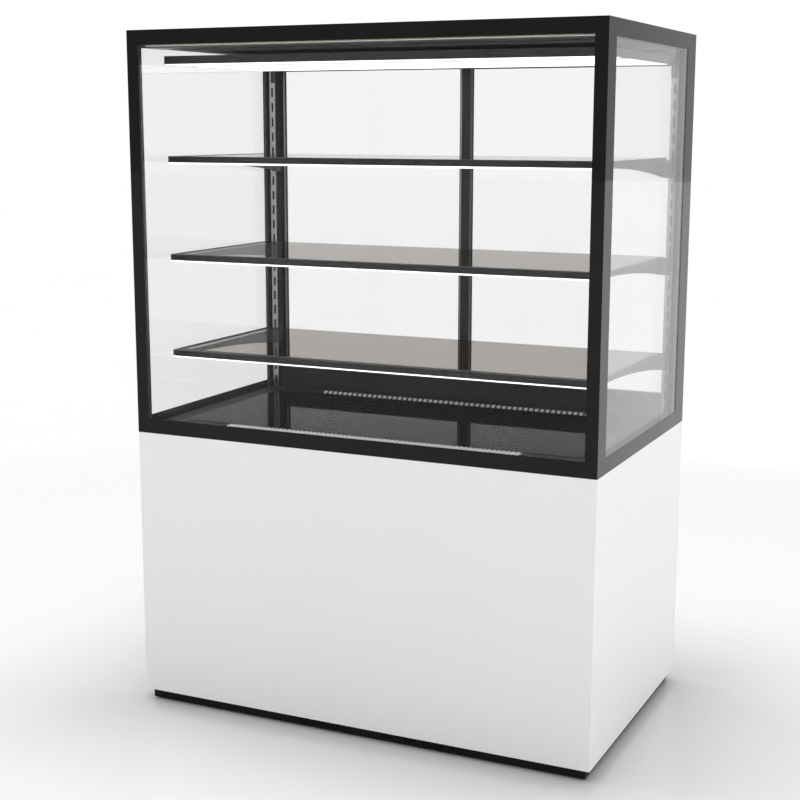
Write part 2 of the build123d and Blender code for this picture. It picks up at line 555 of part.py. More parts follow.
for name, x0, y0 in (("door_frame_left", -480.0, DOOR_IN_Y), ("door_frame_right", 480.0 - DOOR_W, DOOR_OUT_Y)):
    with BuildPart() as door_frame:
        block(x0, x0 + DOOR_W, y0, y0 + DOOR_T, DOOR_Z0, DOOR_Z1)
        fillet(door_frame.edges().filter_by(Axis.Z), 1.2)
        block(x0 + STILE, x0 + DOOR_W - STILE, y0 - 1, y0 + DOOR_T + 1, DOOR_Z0 + RAIL_B, DOOR_Z1 - RAIL_T, Mode.SUBTRACT)
        block(x0 + STILE - 6, x0 + DOOR_W - STILE + 6, y0 + 3.5, y0 + 7.5, DOOR_Z0 + 24, DOOR_Z1 - 20, Mode.SUBTRACT)
        # pockets for the glide shoes
        for xg in (x0 + 60, x0 + DOOR_W - 60):
            block(xg - 20, xg + 20, y0 + 2.2, y0 + DOOR_T - 2.2, DOOR_Z0 - 1, DOOR_Z0 + 12, Mode.SUBTRACT)
    door_frame.part.label = name
    export_step(door_frame.part, "parts/" + name + ".step")

for name, x0, y0 in (("door_glass_left", -480.0, DOOR_IN_Y), ("door_glass_right", 480.0 - DOOR_W, DOOR_OUT_Y)):
    with BuildPart() as door_glass:
        block(x0 + STILE - 6, x0 + DOOR_W - STILE + 6, y0 + 3.5, y0 + 7.5, DOOR_Z0 + 24, DOOR_Z1 - 20)
    door_glass.part.label = name
    export_step(door_glass.part, "parts/" + name + ".step")

for name, x0, y0 in (("door_glides_left", -480.0, DOOR_IN_Y), ("door_glides_right", 480.0 - DOOR_W, DOOR_OUT_Y)):
    with BuildPart() as door_glides:
        for xg in (x0 + 60, x0 + DOOR_W - 60):
            block(xg - 20, xg + 20, y0 + 2.2, y0 + DOOR_T - 2.2, BED_Z - 9.7, DOOR_Z0 + 12)
        fillet(door_glides.edges().filter_by(Axis.Y).group_by(Axis.Z)[0], 3)
    door_glides.part.label = name
    export_step(door_glides.part, "parts/" + name + ".step")

for name, x0, x1, y0 in (("door_pull_left", -474.0, -462.0, DOOR_IN_Y + DOOR_T),
                         ("door_pull_right", 462.0, 474.0, DOOR_OUT_Y + DOOR_T)):
    with BuildPart() as door_pull:
        with BuildSketch(Plane.XY.offset(880)):
            with BuildLine():
                if x0 < 0:
                    Polyline((x0, y0), (x1, y0), (x1, y0 + PULL_D), (x1 - 3, y0 + PULL_D), (x1 - 4, y0 + 1.6), (x0, y0 + 1), (x0, y0))
                else:
                    Polyline((x1, y0), (x0, y0), (x0, y0 + PULL_D), (x0 + 3, y0 + PULL_D), (x0 + 4, y0 + 1.6), (x1, y0 + 1), (x1, y0))
            make_face()
        extrude(amount=280)
    door_pull.part.label = name
    export_step(door_pull.part, "parts/" + name + ".step")

# ==== shelves and light canopy ============================================
JOG_X0, JOG_X1 = 452.0, STRIP_X + 1.5
with BuildPart() as shelf_brackets:
    for sz in SHELF_Z:
        top = sz + SHELF_H - 1 - SHELF_GLASS
        for sx in (-1, 1):
            with BuildSketch(Plane.YZ.offset(sx * 453.5 - 1.5)):
                with BuildLine():
                    Polyline((-190, top - 8), (-190, top), (STRIP_Y0 - 3, top), (STRIP_Y0 - 3, top - 36))
                    ThreePointArc((STRIP_Y0 - 3, top - 36), (14, top - 14.5), (-190, top - 8))
                make_face()
            extrude(amount=3)
            xa, xb = sorted((sx * JOG_X0, sx * JOG_X1))
            block(xa, xb, STRIP_Y0 - 3, STRIP_Y0, top - 36, top)
            xa, xb = sorted((sx * (STRIP_X - 1.5), sx * (STRIP_X + 1.5)))
            block(xa, xb, STRIP_Y0 - 0.5, STRIP_Y1 + 11, sz - HOOK_DROP - 9, sz - HOOK_DROP + 9)
shelf_brackets.part.label = "shelf_brackets"
export_step(shelf_brackets.part, "parts/shelf_brackets.step")

with BuildPart() as shelf_glasses:
    for sz in SHELF_Z:
        zt = sz + SHELF_H - 1
        block(-SHELF_X, SHELF_X, SHELF_Y0 + 3, SHELF_Y1, zt - SHELF_GLASS, zt)
    chamfer(shelf_glasses.edges().filter_by(Axis.X).group_by(Axis.Y)[-1], 0.8)
shelf_glasses.part.label = "shelf_glasses"
export_step(shelf_glasses.part, "parts/shelf_glasses.step")

with BuildPart() as shelf_front_profiles:
    for sz in SHELF_Z:
        with BuildSketch(Plane.YZ.offset(-SHELF_X)):
            with BuildLine():
                Polyline((SHELF_Y0, sz + 0.6), (SHELF_Y0, sz + SHELF_H - 0.6), (SHELF_Y0 + 0.6, sz + SHELF_H),
                         (SHELF_Y0 + 7, sz + SHELF_H), (SHELF_Y0 + 7, sz + SHELF_H - 1), (SHELF_Y0 + 3, sz + SHELF_H - 1),
                         (SHELF_Y0 + 3, sz + SHELF_H - 1 - SHELF_GLASS), (SHELF_Y0 + 24, sz + SHELF_H - 1 - SHELF_GLASS),
                         (SHELF_Y0 + 24, sz), (SHELF_Y0 + 0.6, sz), (SHELF_Y0, sz + 0.6))
            make_face()
        extrude(amount=2 * SHELF_X)
shelf_front_profiles.part.label = "shelf_front_profiles"
export_step(shelf_front_profiles.part, "parts/shelf_front_profiles.step")

with BuildPart() as led_strips:
    for sz in SHELF_Z:
        with BuildSketch(Plane.YZ.offset(-SHELF_X + 2)):
            with BuildLine():
                Polyline((SHELF_Y0 + 1.5, sz), (SHELF_Y0 + 1.5, sz - LED_H + 1.6))
                ThreePointArc((SHELF_Y0 + 1.5, sz - LED_H + 1.6), (SHELF_Y0 + 7.5, sz - LED_H), (SHELF_Y0 + 13.5, sz - LED_H + 1.6))
                Polyline((SHELF_Y0 + 13.5, sz - LED_H + 1.6), (SHELF_Y0 + 13.5, sz), (SHELF_Y0 + 1.5, sz))
            make_face()
        extrude(amount=2 * SHELF_X - 4)
led_strips.part.label = "led_strips"
export_step(led_strips.part, "parts/led_strips.step")

BAR_Y1 = -140.0         # rear edge of the front light bar
PANEL_Y0, PANEL_Y1 = -98.0, 180.0
with BuildPart() as canopy_frame:
    block(-SHELF_X, SHELF_X, SHELF_Y0, BAR_Y1, CANOPY_Z0, CANOPY_Z1)
    block(-SHELF_X, SHELF_X, PANEL_Y0, PANEL_Y1, CANOPY_Z0, CANOPY_Z1)
    for y0, y1 in ((SHELF_Y0, BAR_Y1), (PANEL_Y0, PANEL_Y1)):
        block(-SHELF_X + 6, SHELF_X - 6, y0 + 5, y1 - 5, CANOPY_Z0 - 1, CANOPY_Z1 - 2, Mode.SUBTRACT)
    for sx in (-1, 1):
        xa, xb = sorted((sx * SHELF_X, sx * (SHELF_X - 6)))
        block(xa, xb, BAR_Y1, STRIP_Y0 - 3, CANOPY_Z0, CANOPY_Z1)
        xa, xb = sorted((sx * (SHELF_X - 6), sx * JOG_X1))
        block(xa, xb, STRIP_Y0 - 3, STRIP_Y0, CANOPY_SLOT - 12, CANOPY_Z1)
        xa, xb = sorted((sx * (STRIP_X - 1.5), sx * (STRIP_X + 1.5)))
        block(xa, xb, STRIP_Y0 - 0.5, STRIP_Y1 + 11, CANOPY_SLOT - 9, CANOPY_SLOT + 9)
canopy_frame.part.label = "canopy_frame"
export_step(canopy_frame.part, "parts/canopy_frame.step")

with BuildPart() as canopy_diffuser:
    for y0, y1 in ((SHELF_Y0, BAR_Y1), (PANEL_Y0, PANEL_Y1)):
        block(-SHELF_X + 6, SHELF_X - 6, y0 + 5, y1 - 5, CANOPY_Z0 + 0.5, CANOPY_Z0 + 4)
group = Compound(children=[*canopy_diffuser.part.solids()])
group.label = "canopy_diffuser"
export_step(group, "parts/canopy_diffuser.step")

with BuildPart() as temp_probe:
    block(-316, -304, 231, 236, ROOF_Z - 16, ROOF_Z + 2)
    with Locations((-310, 231, ROOF_Z - 13)):
        Cylinder(3.0, 44, rotation=(0, 90, 0))
temp_probe.part.label = "temp_probe"
export_step(temp_probe.part, "parts/temp_probe.step")
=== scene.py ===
import bpy
import bmesh
import json
import math
from mathutils import Matrix, Vector


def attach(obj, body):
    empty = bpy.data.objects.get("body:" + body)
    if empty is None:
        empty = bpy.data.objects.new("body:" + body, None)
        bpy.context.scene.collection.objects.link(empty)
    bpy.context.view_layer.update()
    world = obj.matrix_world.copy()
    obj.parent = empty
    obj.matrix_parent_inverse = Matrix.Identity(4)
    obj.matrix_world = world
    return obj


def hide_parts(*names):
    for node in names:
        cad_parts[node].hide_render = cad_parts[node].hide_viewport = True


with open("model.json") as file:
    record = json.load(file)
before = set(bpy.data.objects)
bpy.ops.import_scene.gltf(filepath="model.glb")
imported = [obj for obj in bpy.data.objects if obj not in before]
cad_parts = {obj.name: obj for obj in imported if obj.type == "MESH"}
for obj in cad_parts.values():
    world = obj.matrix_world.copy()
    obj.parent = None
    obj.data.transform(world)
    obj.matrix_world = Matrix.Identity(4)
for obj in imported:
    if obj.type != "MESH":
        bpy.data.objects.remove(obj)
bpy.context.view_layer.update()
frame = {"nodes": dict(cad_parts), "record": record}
SCENE = bpy.context.scene
NODES = frame["nodes"]

# ---------------------------------------------------------------- camera
AZ, EL, ROLL = math.radians(-25.087), math.radians(10.513), math.radians(0.092)
look = Vector((math.sin(AZ) * math.cos(EL), math.cos(AZ) * math.cos(EL), -math.sin(EL)))
right = look.cross(Vector((0, 0, 1))).normalized()
up = right.cross(look)
right_r = math.cos(ROLL) * right + math.sin(ROLL) * up
up_r = -math.sin(ROLL) * right + math.cos(ROLL) * up
cam_data = bpy.data.cameras.new("camera")
cam_data.sensor_width = 36.0
cam_data.lens = 1477.1 / 800 * 36.0
cam_data.clip_start, cam_data.clip_end = 0.05, 200.0
cam = bpy.data.objects.new("camera", cam_data)
SCENE.collection.objects.link(cam)
cam.matrix_world = Matrix((
    (right_r.x, up_r.x, -look.x, 1.2815),
    (right_r.y, up_r.y, -look.y, -2.8167),
    (right_r.z, up_r.z, -look.z, 1.2211),
    (0, 0, 0, 1)))
SCENE.camera = cam
SCENE.view_settings.view_transform = "Standard"
SCENE.view_settings.look = "None"
SCENE.cycles.max_bounces = 36
SCENE.cycles.transmission_bounces = 32
SCENE.cycles.transparent_max_bounces = 32
SCENE.cycles.glossy_bounces = 8
SCENE.cycles.diffuse_bounces = 5
SCENE.cycles.sample_clamp_indirect = 6.0


# ---------------------------------------------------------------- materials
class Mat:
    """A node material with object-space texture coordinates."""

    def __init__(self, name, color=(0.8, 0.8, 0.8), rough=0.5, metal=0.0, **extra):
        self.m = bpy.data.materials.new(name)
        self.m.use_nodes = True
        self.t = self.m.node_tree
        self.t.nodes.clear()
        self.out = self.t.nodes.new("ShaderNodeOutputMaterial")
        self.p = self.t.nodes.new("ShaderNodeBsdfPrincipled")
        self.t.links.new(self.p.outputs[0], self.out.inputs[0])
        self.p.inputs["Base Color"].default_value = (*color, 1)
        self.p.inputs["Roughness"].default_value = rough
        self.p.inputs["Metallic"].default_value = metal
        for k, v in extra.items():
            self.p.inputs[k.replace("_", " ")].default_value = v
        self.coord = self.t.nodes.new("ShaderNodeTexCoord")

    def node(self, kind, **props):
        n = self.t.nodes.new(kind)
        for k, v in props.items():
            setattr(n, k, v)
        return n

    def link(self, a, b):
        self.t.links.new(a, b)

    def space(self, scale=(1, 1, 1)):
        m = self.node("ShaderNodeMapping")
        m.inputs["Scale"].default_value = scale
        self.link(self.coord.outputs["Object"], m.inputs["Vector"])
        return m.outputs["Vector"]

    def noise(self, scale, detail=3.0, rough=0.5, stretch=(1, 1, 1)):
        n = self.node("ShaderNodeTexNoise")
        n.inputs["Scale"].default_value = scale
        n.inputs["Detail"].default_value = detail
        n.inputs["Roughness"].default_value = rough
        self.link(self.space(stretch), n.inputs["Vector"])
        return n.outputs["Fac"]

    def ramp(self, fac, stops):
        r = self.node("ShaderNodeValToRGB")
        e = r.color_ramp.elements
        while len(e) < len(stops):
            e.new(0.5)
        for el, (pos, col) in zip(e, stops):
            el.position = pos
            el.color = (*col, 1) if len(col) == 3 else col
        self.link(fac, r.inputs["Fac"])
        return r.outputs["Color"]

    def color_from(self, fac, stops):
        self.link(self.ramp(fac, stops), self.p.inputs["Base Color"])
        return self

    def rough_from(self, fac, low, high):
        m = self.node("ShaderNodeMapRange")
        m.inputs["From Min"].default_value = 0.25
        m.inputs["From Max"].default_value = 0.75
        m.inputs["To Min"].default_value = low
        m.inputs["To Max"].default_value = high
        self.link(fac, m.inputs["Value"])
        self.link(m.outputs["Result"], self.p.inputs["Roughness"])
        return self

    def bump(self, fac, strength, distance):
        b = self.node("ShaderNodeBump")
        b.inputs["Strength"].default_value = strength
        b.inputs["Distance"].default_value = distance
        self.link(fac, b.inputs["Height"])
        self.link(b.outputs["Normal"], self.p.inputs["Normal"])
        return self


def grey(v):
    return (v, v, v)


def powder(name, a, b, low, high, grain=900.0, depth=0.00004):
    m = Mat(name, a, (low + high) / 2)
    m.color_from(m.noise(5.0, 4.0), [(0.3, a), (0.7, b)])
    m.rough_from(m.noise(40.0, 4.0), low, high)
    m.bump(m.noise(grain, 2.0), 0.25, depth)
    return m


white_coat = powder("white_coat", (0.920, 0.922, 0.924), (0.932, 0.934, 0.934), 0.30, 0.38, 500.0, 0.00003)
white_coat.p.inputs["Coat Weight"].default_value = 0.15
white_coat.p.inputs["Coat Roughness"].default_value = 0.12
black_coat = powder("black_coat", grey(0.012), grey(0.018), 0.34, 0.46, 800.0, 0.00005)
canopy_coat = powder("canopy_coat", grey(0.030), grey(0.040), 0.32, 0.40, 300.0, 0.000004)
canopy_coat.p.inputs["Specular IOR Level"].default_value = 0.35
black_satin = powder("black_satin", grey(0.017), grey(0.024), 0.30, 0.38, 300.0, 0.000004)
black_satin.p.inputs["Specular IOR Level"].default_value = 0.35
black_matt = powder("black_matt", grey(0.009), grey(0.013), 0.44, 0.54, 350.0, 0.00001)
black_matt.p.inputs["Specular IOR Level"].default_value = 0.12
anodised = Mat("black_anodised", grey(0.012), 0.40)
anodised.color_from(anodised.noise(30.0, 4.0, 0.5, (0.1, 1, 0.1)), [(0.3, grey(0.022)), (0.7, grey(0.029))])
anodised.rough_from(anodised.noise(120.0, 3.0, 0.5, (0.05, 1, 0.05)), 0.36, 0.46)
anodised.bump(anodised.noise(300.0, 2.0, 0.5, (0.02, 1, 0.02)), 0.15, 0.000004)
anodised.p.inputs["Specular IOR Level"].default_value = 0.22
gasket_grey = Mat("gasket_grey", grey(0.42), 0.5)
gasket_grey.color_from(gasket_grey.noise(40.0, 4.0), [(0.3, grey(0.39)), (0.7, grey(0.45))])
gasket_grey.rough_from(gasket_grey.noise(120.0, 4.0), 0.42, 0.6)
gasket_grey.bump(gasket_grey.noise(500.0, 3.0), 0.2, 0.00004)
polished = Mat("polished_edge", grey(0.72), 0.16, 1.0)
polished.color_from(polished.noise(50.0, 4.0, 0.6, (0.02, 1, 1)), [(0.3, grey(0.62)), (0.7, grey(0.80))])
polished.rough_from(polished.noise(120.0, 3.0, 0.5, (0.02, 1, 1)), 0.10, 0.24)
polished.bump(polished.noise(500.0, 2.0, 0.5, (0.02, 1, 1)), 0.12, 0.00001)
grey_liner = powder("grey_liner", grey(0.250), grey(0.285), 0.44, 0.54, 300.0, 0.000008)
grey_liner.p.inputs["Specular IOR Level"].default_value = 0.0

stainless = Mat("stainless_brushed", (0.62, 0.61, 0.59), 0.28, 1.0, Anisotropic=0.5)
stainless.color_from(stainless.noise(60.0, 5.0, 0.6, (1, 1, 0.02)), [(0.3, (0.52, 0.51, 0.49)), (0.7, (0.70, 0.69, 0.67))])
stainless.rough_from(stainless.noise(260.0, 3.0, 0.5, (1, 1, 0.015)), 0.20, 0.36)
stainless.bump(stainless.noise(900.0, 2.0, 0.5, (1, 1, 0.01)), 0.2, 0.00002)

stainless_x = Mat("stainless_brushed_x", (0.62, 0.61, 0.59), 0.28, 1.0, Anisotropic=0.5)
stainless_x.color_from(stainless_x.noise(60.0, 5.0, 0.6, (0.02, 1, 1)), [(0.3, (0.50, 0.49, 0.48)), (0.7, (0.68, 0.67, 0.65))])
stainless_x.rough_from(stainless_x.noise(260.0, 3.0, 0.5, (0.015, 1, 1)), 0.20, 0.34)
stainless_x.bump(stainless_x.noise(900.0, 2.0, 0.5, (0.01, 1, 1)), 0.2, 0.00002)

galvanised = Mat("galvanised", (0.55, 0.56, 0.57), 0.4, 0.9)
spangle = galvanised.node("ShaderNodeTexVoronoi")
spangle.inputs["Scale"].default_value = 90.0
galvanised.link(galvanised.space(), spangle.inputs["Vector"])
galvanised.color_from(spangle.outputs["Distance"], [(0.0, (0.62, 0.63, 0.64)), (0.8, (0.42, 0.43, 0.45))])
galvanised.rough_from(galvanised.noise(70.0, 4.0), 0.30, 0.52)
galvanised.bump(galvanised.noise(300.0, 3.0), 0.15, 0.00005)

zinc = Mat("zinc_plated", (0.66, 0.66, 0.64), 0.25, 1.0)
zinc.color_from(zinc.noise(200.0, 3.0), [(0.3, (0.60, 0.60, 0.57)), (0.7, (0.74, 0.74, 0.73))])
zinc.rough_from(zinc.noise(900.0, 2.0), 0.18, 0.34)
zinc.bump(zinc.noise(1800.0, 2.0), 0.1, 0.00002)

enamel = Mat("border_enamel", grey(0.014), 0.03, 0.0, IOR=1.5, Specular_IOR_Level=0.25)
enamel.p.inputs["Specular Tint"].default_value = (0.33, 0.33, 0.33, 1)
enamel.color_from(enamel.noise(14.0, 3.0), [(0.3, grey(0.0147)), (0.7, grey(0.0167))])
enamel.rough_from(enamel.noise(5.0, 3.0), 0.02, 0.045)
enamel.bump(enamel.noise(2.2, 2.0), 0.02, 0.0004)

plastic = Mat("black_plastic", grey(0.018), 0.45)
plastic.color_from(plastic.noise(30.0, 4.0), [(0.3, grey(0.014)), (0.7, grey(0.022))])
plastic.rough_from(plastic.noise(200.0, 4.0), 0.38, 0.55)
plastic.bump(plastic.noise(2200.0, 2.0), 0.25, 0.00004)

grey_plastic = Mat("grey_plastic", grey(0.30), 0.45)
grey_plastic.color_from(grey_plastic.noise(25.0, 4.0), [(0.3, (0.27, 0.275, 0.28)), (0.7, (0.32, 0.325, 0.33))])
grey_plastic.rough_from(grey_plastic.noise(200.0, 4.0), 0.40, 0.55)
grey_plastic.bump(grey_plastic.noise(2200.0, 2.0), 0.2, 0.00004)

key_grey = Mat("key_plastic", (0.42, 0.43, 0.45), 0.3)
key_grey.color_from(key_grey.noise(60.0, 4.0), [(0.3, (0.40, 0.41, 0.43)), (0.7, (0.45, 0.46, 0.48))])
key_grey.rough_from(key_grey.noise(400.0, 3.0), 0.24, 0.38)
key_grey.bump(key_grey.noise(2600.0, 2.0), 0.15, 0.00002)


def tinted(name, a, b):
    m = Mat(name, a, 0.2, 0.0, Transmission_Weight=0.35, IOR=1.49)
    m.color_from(m.noise(120.0, 3.0), [(0.3, a), (0.7, b)])
    m.rough_from(m.noise(400.0, 3.0), 0.12, 0.22)
    m.bump(m.noise(1500.0, 2.0), 0.08, 0.00002)
    return m


rocker_red = tinted("rocker_red", (0.55, 0.02, 0.015), (0.62, 0.03, 0.02))
rocker_green = tinted("rocker_green", (0.02, 0.34, 0.06), (0.03, 0.40, 0.08))

rubber = Mat("black_rubber", grey(0.02), 0.7)
rubber.color_from(rubber.noise(40.0, 5.0), [(0.3, grey(0.015)), (0.7, grey(0.028))])
rubber.rough_from(rubber.noise(150.0, 4.0), 0.6, 0.8)
rubber.bump(rubber.noise(900.0, 4.0), 0.35, 0.0001)

sealant = Mat("silicone_seal", grey(0.012), 0.35)
sealant.color_from(sealant.noise(50.0, 4.0), [(0.3, grey(0.010)), (0.7, grey(0.016))])
sealant.rough_from(sealant.noise(90.0, 4.0), 0.28, 0.42)
sealant.bump(sealant.noise(160.0, 3.0), 0.2, 0.0002)

wool = Mat("mineral_wool", (0.5, 0.42, 0.24), 0.9)
wool.color_from(wool.noise(160.0, 8.0, 0.7), [(0.3, (0.42, 0.34, 0.17)), (0.7, (0.60, 0.52, 0.32))])
wool.rough_from(wool.noise(90.0, 4.0), 0.8, 0.95)
wool.bump(wool.noise(700.0, 6.0, 0.7), 0.8, 0.0006)

element = Mat("element_tube", (0.35, 0.32, 0.30), 0.4, 1.0)
element.color_from(element.noise(20.0, 4.0), [(0.3, (0.40, 0.36, 0.33)), (0.5, (0.33, 0.27, 0.24)), (0.7, (0.26, 0.25, 0.30))])
element.rough_from(element.noise(300.0, 3.0), 0.32, 0.5)
element.bump(element.noise(900.0, 3.0), 0.2, 0.00004)

hot_glass = Mat("hot_plate_glass", grey(0.03), 0.06, 1.0)
hot_glass.p.inputs["Specular Tint"].default_value = (0.42, 0.42, 0.42, 1)
hot_glass.color_from(hot_glass.noise(300.0, 2.0), [(0.45, grey(0.032)), (0.62, grey(0.035))])
hot_glass.rough_from(hot_glass.noise(18.0, 4.0), 0.04, 0.06)
hot_glass.bump(hot_glass.noise(4.0, 2.0), 0.02, 0.0005)

diffuser = Mat("opal_diffuser", (0.92, 0.93, 0.94), 0.45, 0.0, Transmission_Weight=0.0)
diffuser.color_from(diffuser.noise(35.0, 3.0), [(0.3, (0.90, 0.91, 0.92)), (0.7, (0.94, 0.95, 0.96))])
diffuser.rough_from(diffuser.noise(200.0, 3.0), 0.40, 0.5)
diffuser.bump(diffuser.noise(1800.0, 2.0), 0.1, 0.00002)
diffuser.p.inputs["Emission Color"].default_value = (1.0, 0.985, 0.955, 1)
diffuser.p.inputs["Emission Strength"].default_value = 1.3

led_tube = Mat("led_tube", (0.95, 0.95, 0.94), 0.35)
dots = led_tube.node("ShaderNodeTexWave", wave_type="BANDS", bands_direction="X")
dots.inputs["Scale"].default_value = 20.0
dots.inputs["Distortion"].default_value = 0.0
led_tube.link(led_tube.space(), dots.inputs["Vector"])
led_tube.color_from(dots.outputs["Fac"], [(0.0, (0.90, 0.90, 0.89)), (1.0, (0.97, 0.97, 0.96))])
led_tube.rough_from(led_tube.noise(200.0, 3.0), 0.30, 0.42)
led_tube.p.inputs["Emission Color"].default_value = (1.0, 0.98, 0.94, 1)
led_tube.p.inputs["Emission Strength"].default_value = 1.3


def glass_mat(name, tint, smear, gloss=1.0, ior=1.5):
    """Clear float glass. Light that only passes through is not blocked by it."""
    g = Mat(name, tint, 0.0, 0.0, Transmission_Weight=1.0, IOR=ior)
    g.p.inputs["Specular Tint"].default_value = (gloss, gloss, gloss, 1)
    g.color_from(g.noise(3.0, 2.0), [(0.3, tint), (0.7, tuple(min(1.0, c * 1.004) for c in tint))])
    g.rough_from(g.noise(6.0, 5.0), 0.0, smear)
    clear = g.node("ShaderNodeBsdfTransparent")
    clear.inputs["Color"].default_value = (0.93, 0.95, 0.94, 1)
    path = g.node("ShaderNodeLightPath")
    both = g.node("ShaderNodeMath", operation="MAXIMUM")
    g.link(path.outputs["Is Shadow Ray"], both.inputs[0])
    g.link(path.outputs["Is Diffuse Ray"], both.inputs[1])
    mix = g.node("ShaderNodeMixShader")
    g.link(both.outputs[0], mix.inputs["Fac"])
    g.link(g.p.outputs[0], mix.inputs[1])
    g.link(clear.outputs[0], mix.inputs[2])
    g.link(mix.outputs[0], g.out.inputs[0])
    return g


glass = glass_mat("clear_glass", (0.955, 0.959, 0.957), 0.004, 0.33, 1.33)
coated_glass = glass_mat("coated_glass", (0.955, 0.957, 0.955), 0.004, 0.30, 1.18)
# smoked shelf glass: dark in the body, with a thin gloss on its faces
shelf_glass = glass_mat("shelf_glass", (0.40, 0.365, 0.345), 0.006, 0.14, 1.01)
shelf_glass.p.inputs["Coat Weight"].default_value = 0.12
shelf_glass.p.inputs["Coat Roughness"].default_value = 0.03

rail_grey = Mat("rail_grey", grey(0.15), 0.4, 0.3)
rail_grey.color_from(rail_grey.noise(20.0, 4.0, 0.5, (0.1, 1, 1)), [(0.3, grey(0.12)), (0.7, grey(0.17))])
rail_grey.rough_from(rail_grey.noise(90.0, 3.0, 0.5, (0.05, 1, 1)), 0.34, 0.46)
rail_grey.bump(rail_grey.noise(300.0, 2.0, 0.5, (0.02, 1, 1)), 0.15, 0.000008)

display_glass = Mat("display_glass", (0.030, 0.004, 0.005), 0.08)
display_glass.color_from(display_glass.noise(60.0, 3.0), [(0.3, (0.026, 0.003, 0.004)), (0.7, (0.036, 0.005, 0.006))])
display_glass.rough_from(display_glass.noise(90.0, 4.0), 0.05, 0.12)
display_glass.bump(display_glass.noise(40.0, 2.0), 0.03, 0.00005)

led_red = Mat("led_red", (0.8, 0.05, 0.03), 0.4)
led_red.color_from(led_red.noise(900.0, 2.0), [(0.3, (0.75, 0.04, 0.02)), (0.7, (0.9, 0.07, 0.04))])
led_red.rough_from(led_red.noise(600.0, 2.0), 0.35, 0.5)
led_red.bump(led_red.noise(2500.0, 2.0), 0.1, 0.00001)
led_red.p.inputs["Emission Color"].default_value = (1.0, 0.06, 0.03, 1)
led_red.p.inputs["Emission Strength"].default_value = 2.2

mark_white = Mat("mark_white", grey(0.80), 0.45)
mark_white.color_from(mark_white.noise(600.0, 3.0), [(0.3, grey(0.74)), (0.7, grey(0.84))])
mark_white.rough_from(mark_white.noise(900.0, 2.0), 0.38, 0.52)
mark_white.bump(mark_white.noise(2600.0, 2.0), 0.1, 0.00001)

BY_SLOT = {
    "white_enamel": white_coat, "black_enamel": black_coat, "black_anodised": anodised, "galvanised": galvanised,
    "stainless": stainless, "black_border": enamel, "clear_glass": glass, "black_glass": hot_glass,
    "spacer_black": plastic, "diffuser_white": diffuser, "zinc": zinc, "black_rubber": rubber,
    "black_plastic": plastic, "grey_plastic": grey_plastic, "key_plastic": key_grey,
    "rocker_red": rocker_red, "rocker_green": rocker_green, "mineral_wool": wool, "element_steel": element,
}
SLOT_OF = {s["node"]: s["material_slot"] for s in frame["record"]["subparts"]}
for node_name, obj in NODES.items():
    obj.data.materials.clear()
    obj.data.materials.append(BY_SLOT[SLOT_OF[node_name]].m)
strip_metal = Mat("strip_metal", (0.30, 0.285, 0.275), 0.34, 1.0)
strip_metal.color_from(strip_metal.noise(60.0, 5.0, 0.6, (1, 1, 0.02)), [(0.3, (0.34, 0.322, 0.312)), (0.7, (0.44, 0.42, 0.405))])
strip_metal.rough_from(strip_metal.noise(260.0, 3.0, 0.5, (1, 1, 0.015)), 0.28, 0.42)
strip_metal.bump(strip_metal.noise(900.0, 2.0, 0.5, (1, 1, 0.01)), 0.2, 0.00002)
OVERRIDE = {"air_grilles": stainless_x, "led_strips": led_tube, "shelf_front_profiles": black_satin,
            "canopy_frame": canopy_coat, "shelf_brackets": black_satin, "roof_liner": grey_liner,
            "deck_surround": black_matt, "roof_panel": enamel, "slotted_strips": strip_metal, "rear_posts": black_matt,
            "plinth_front": black_matt, "plinth_surround": black_matt}
for node_name, m in OVERRIDE.items():
    NODES[node_name].data.materials[0] = m.m


# ---------------------------------------------------------------- geometry helpers
def make(name, bm, mat, body="cabinet", smooth=False):
    bmesh.ops.recalc_face_normals(bm, faces=bm.faces)
    mesh = bpy.data.meshes.new(name)
    bm.to_mesh(mesh)
    bm.free()
    obj = bpy.data.objects.new(name, mesh)
    SCENE.collection.objects.link(obj)
    obj.data.materials.append(mat.m)
    if smooth:
        for p in mesh.polygons:
            p.use_smooth = True
    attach(obj, body)
    return obj


def add_prism(bm, pts, z0, z1, axis="Z"):
    """A closed prism over the 2-D points, along the named axis."""
    def at(p, h):
        if axis == "Z":
            return (p[0], p[1], h)
        if axis == "X":
            return (h, p[0], p[1])
        return (p[0], h, p[1])
    low = [bm.verts.new(at(p, z0)) for p in pts]
    high = [bm.verts.new(at(p, z1)) for p in pts]
    n = len(pts)
    faces = [bm.faces.new(low[::-1]), bm.faces.new(high)]
    for i in range(n):
        j = (i + 1) % n
        faces.append(bm.faces.new((low[i], low[j], high[j], high[i])))
    return low + high


def add_box(bm, x0, x1, y0, y1, z0, z1):
    return add_prism(bm, [(x0, y0), (x1, y0), (x1, y1), (x0, y1)], z0, z1)


def bevel_all(bm, width, segments=2, limit=math.radians(40)):
    edges = [e for e in bm.edges if len(e.link_faces) == 2 and e.calc_face_angle(0) > limit]
    bmesh.ops.bevel(bm, geom=edges, offset=width, segments=segments, profile=0.6, affect="EDGES", clamp_overlap=True)


MM = 0.001


def pane(name, pts, z0, z1, mat=None, arris=0.4, body="cabinet"):
    bm = bmesh.new()
    add_prism(bm, [(a * MM, b * MM) for a, b in pts], z0 * MM, z1 * MM)
    bevel_all(bm, arris * MM, 1)
    return make(name, bm, mat or glass, body)


